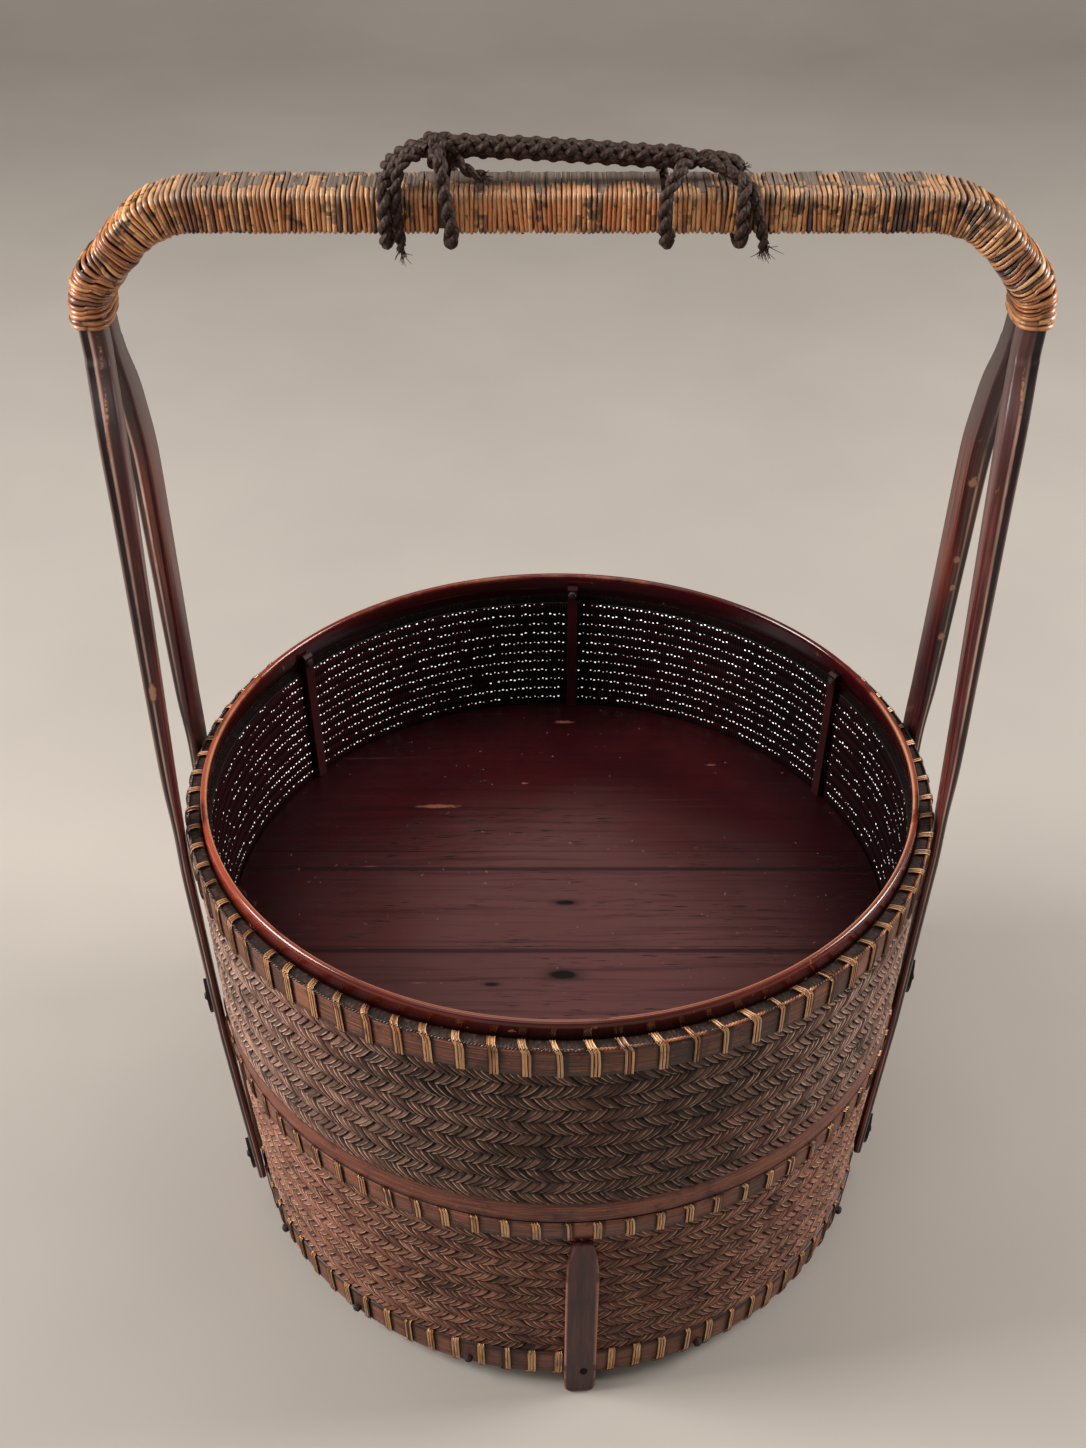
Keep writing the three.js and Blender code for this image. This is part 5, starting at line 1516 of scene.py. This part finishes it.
def rope_loops():
    """The four loops that tie the grip to the bar, with a knot, loose ends and frayed tips."""
    left, right = GRIP_LEFT_Z, GRIP_RIGHT_Z
    left_lean = [-5.5, -3.5, -1, 1.5, 0.5, 0, 0, 0, -0.5, -3]
    right_lean = [3, 0.5, -5.5, -5.5, -4.5, -2, -3.5, -6, -5, 1.5]
    routes = {
        "left_inner": inner_loop(-49.0, left, left_lean),
        "left_outer": outer_loop(-1, left),
        "right_inner": inner_loop(49.0, right, right_lean),
        "right_outer": outer_loop(1, right),
    }
    loops = {tag: Patches() for tag in routes}
    for tag, route in routes.items():
        twisted(loops[tag], route, offset=1.45, radius=1.8, pitch=14.0, tone=0.3)

    parts = loops["left_inner"]
    turn = np.linspace(0, 2.6 * TAU, 90)[::4]
    turns = np.stack([0.45 * turn - 57, 5.6 * np.sin(turn), 5.2 * np.cos(turn) + left - 1.0], -1)
    knot = np.vstack([[(-58.5, 0.6, left - 0.6)], turns, [(-44.0, 0.4, left - 1.0)]])
    twisted(parts, knot, offset=1.2, radius=1.5, pitch=12.0, tone=0.35)
    stub = [(-45, -5.5, left - 3), (-40, -8.5, left - 7), (-34, -9.5, left - 9)]
    tip = twisted(parts, stub, offset=1.2, radius=1.5, pitch=12.0, tone=0.4, phase=2.0)
    fray(parts, tip, (1, -0.2, -0.3), count=18, reach=4.0, spread=0.5, seed=8)

    parts = loops["left_outer"]
    tail = [
        (-62, -6, left - 1), (-68, -11, left - 3), (-71, -15, BAR_Z + 10),
        (-70.5, -16.4, BAR_Z), (-70, -16.2, BAR_Z - 9), (-69.5, -15.6, BAR_Z - 14),
    ]
    tip = twisted(parts, tail, offset=1.25, radius=1.5, pitch=13.0, tone=0.5, phase=1.0)
    fray(parts, tip, (0.1, -0.1, -1), count=26, reach=6.0, spread=0.35, seed=5)

    parts = loops["right_outer"]
    tail = [
        (62, -5, right), (72, -8, right - 3), (80, -13, BAR_Z + 11),
        (82, -16.2, BAR_Z + 4), (84.5, -16.4, BAR_Z - 6), (86, -15.8, BAR_Z - 13),
    ]
    tip = twisted(parts, tail, offset=1.25, radius=1.5, pitch=13.0, tone=0.5, phase=1.0)
    fray(parts, tip, (0.2, -0.1, -1), count=30, reach=6.5, spread=0.4, seed=6)
    stub = [(60, 1, right + 1), (68, 2, right - 1), (76, 3, right - 4)]
    tip = twisted(parts, stub, offset=1.3, radius=1.6, pitch=12.0, tone=0.4, phase=2.0)
    fray(parts, tip, (1, 0, -0.2), count=20, reach=4.0, spread=0.5, seed=7)

    for tag, parts in loops.items():
        parts.build(f"rope_strand_{tag}", ROPE, LOWER, "rope", [f"rope_loop_{tag}"])


grip()
rope_loops()


# CAD nodes that keep their shape

dress([n for n in nodes if "floor_board" in n], FLOOR)
dress([n for n in nodes if n.startswith("wall_rib")], RIB_LACQUER)
dress(["upper_floor_ledge"], LEDGE_LACQUER)
dress([n for n in nodes if "_plate_" in n or n.startswith("rib_stud")], IRON)
dress([n for n in nodes if n.startswith("floor_peg")], BACKING)
dress([n for n in nodes if n.startswith("foot_slat")], SLAT)
dress(["handle_bar"], BAR)


# Studio, in metres

CAMERA_AT = (-0.0087, -0.7585, 0.8911)
CAMERA_AIM = (-0.0087, 0, 0.3190)
CAMERA_LENS = 44.93
# Each lamp: place, where it points, width and height, power
LAMPS = {
    "key_left": ((-1.9, -0.15, 1.3), (0, 0, 0.25), (0.9, 1.2), 82),
    "side_right": ((1.85, 0.3, 1.3), (0, 0, 0.25), (0.8, 1.2), 56),
    "top_soft": ((0.0, 0.4, 2.7), (0, 0, 0.2), (1.6, 1.2), 22),
    "front_fill": ((-0.6, -2.1, 1.9), (0, 0, 0.3), (2.4, 1.4), 13),
}


def aim(obj, place, target):
    """Puts a lamp or the camera at a place and turns it to a target."""
    obj.location = place
    obj.rotation_euler = (Vector(target) - Vector(place)).to_track_quat("-Z", "Y").to_euler()


def ground():
    """A pale floor that curves up into the wall behind."""
    curve = np.linspace(0, np.pi / 2, 16)[1:]
    y = np.concatenate([[-2.4, 1.6, 2.2], 2.2 + 0.9 * np.sin(curve), [3.1]])
    z = np.concatenate([[0, 0, 0], 0.9 - 0.9 * np.cos(curve), [4.5]])
    verts = [(x, row_y, row_z) for row_y, row_z in zip(y, z) for x in (-4.0, 4.0)]
    faces = [(2 * i, 2 * i + 1, 2 * i + 3, 2 * i + 2) for i in range(len(y) - 1)]
    mesh = bpy.data.meshes.new("ground")
    mesh.from_pydata(verts, [], faces)
    mesh.polygons.foreach_set("use_smooth", np.full(len(faces), True))
    mesh.materials.append(GROUND)
    in_scene("ground", mesh)


def lamps():
    """Soft rectangular lamps."""
    for name, (place, target, size, power) in LAMPS.items():
        data = bpy.data.lights.new(name, "AREA")
        data.shape = "RECTANGLE"
        data.size, data.size_y = size
        data.energy = power
        aim(in_scene(name, data), place, target)


def camera():
    """The photo's camera, fitted to the rims and the handle."""
    data = bpy.data.cameras.new("camera")
    data.sensor_fit = "VERTICAL"
    data.sensor_height = 36
    data.lens = CAMERA_LENS
    data.clip_start = 0.05
    obj = in_scene("camera", data)
    aim(obj, CAMERA_AT, CAMERA_AIM)
    bpy.context.scene.camera = obj


def soft_world():
    """Even weak light from all sides."""
    world = bpy.data.worlds.new("studio")
    world.use_nodes = True
    colour, strength = world.node_tree.nodes["Background"].inputs[:2]
    colour.default_value = (1, 1, 1, 1)
    strength.default_value = 0.13
    bpy.context.scene.world = world
    bpy.context.scene.view_settings.view_transform = "Standard"


ground()
lamps()
camera()
soft_world()
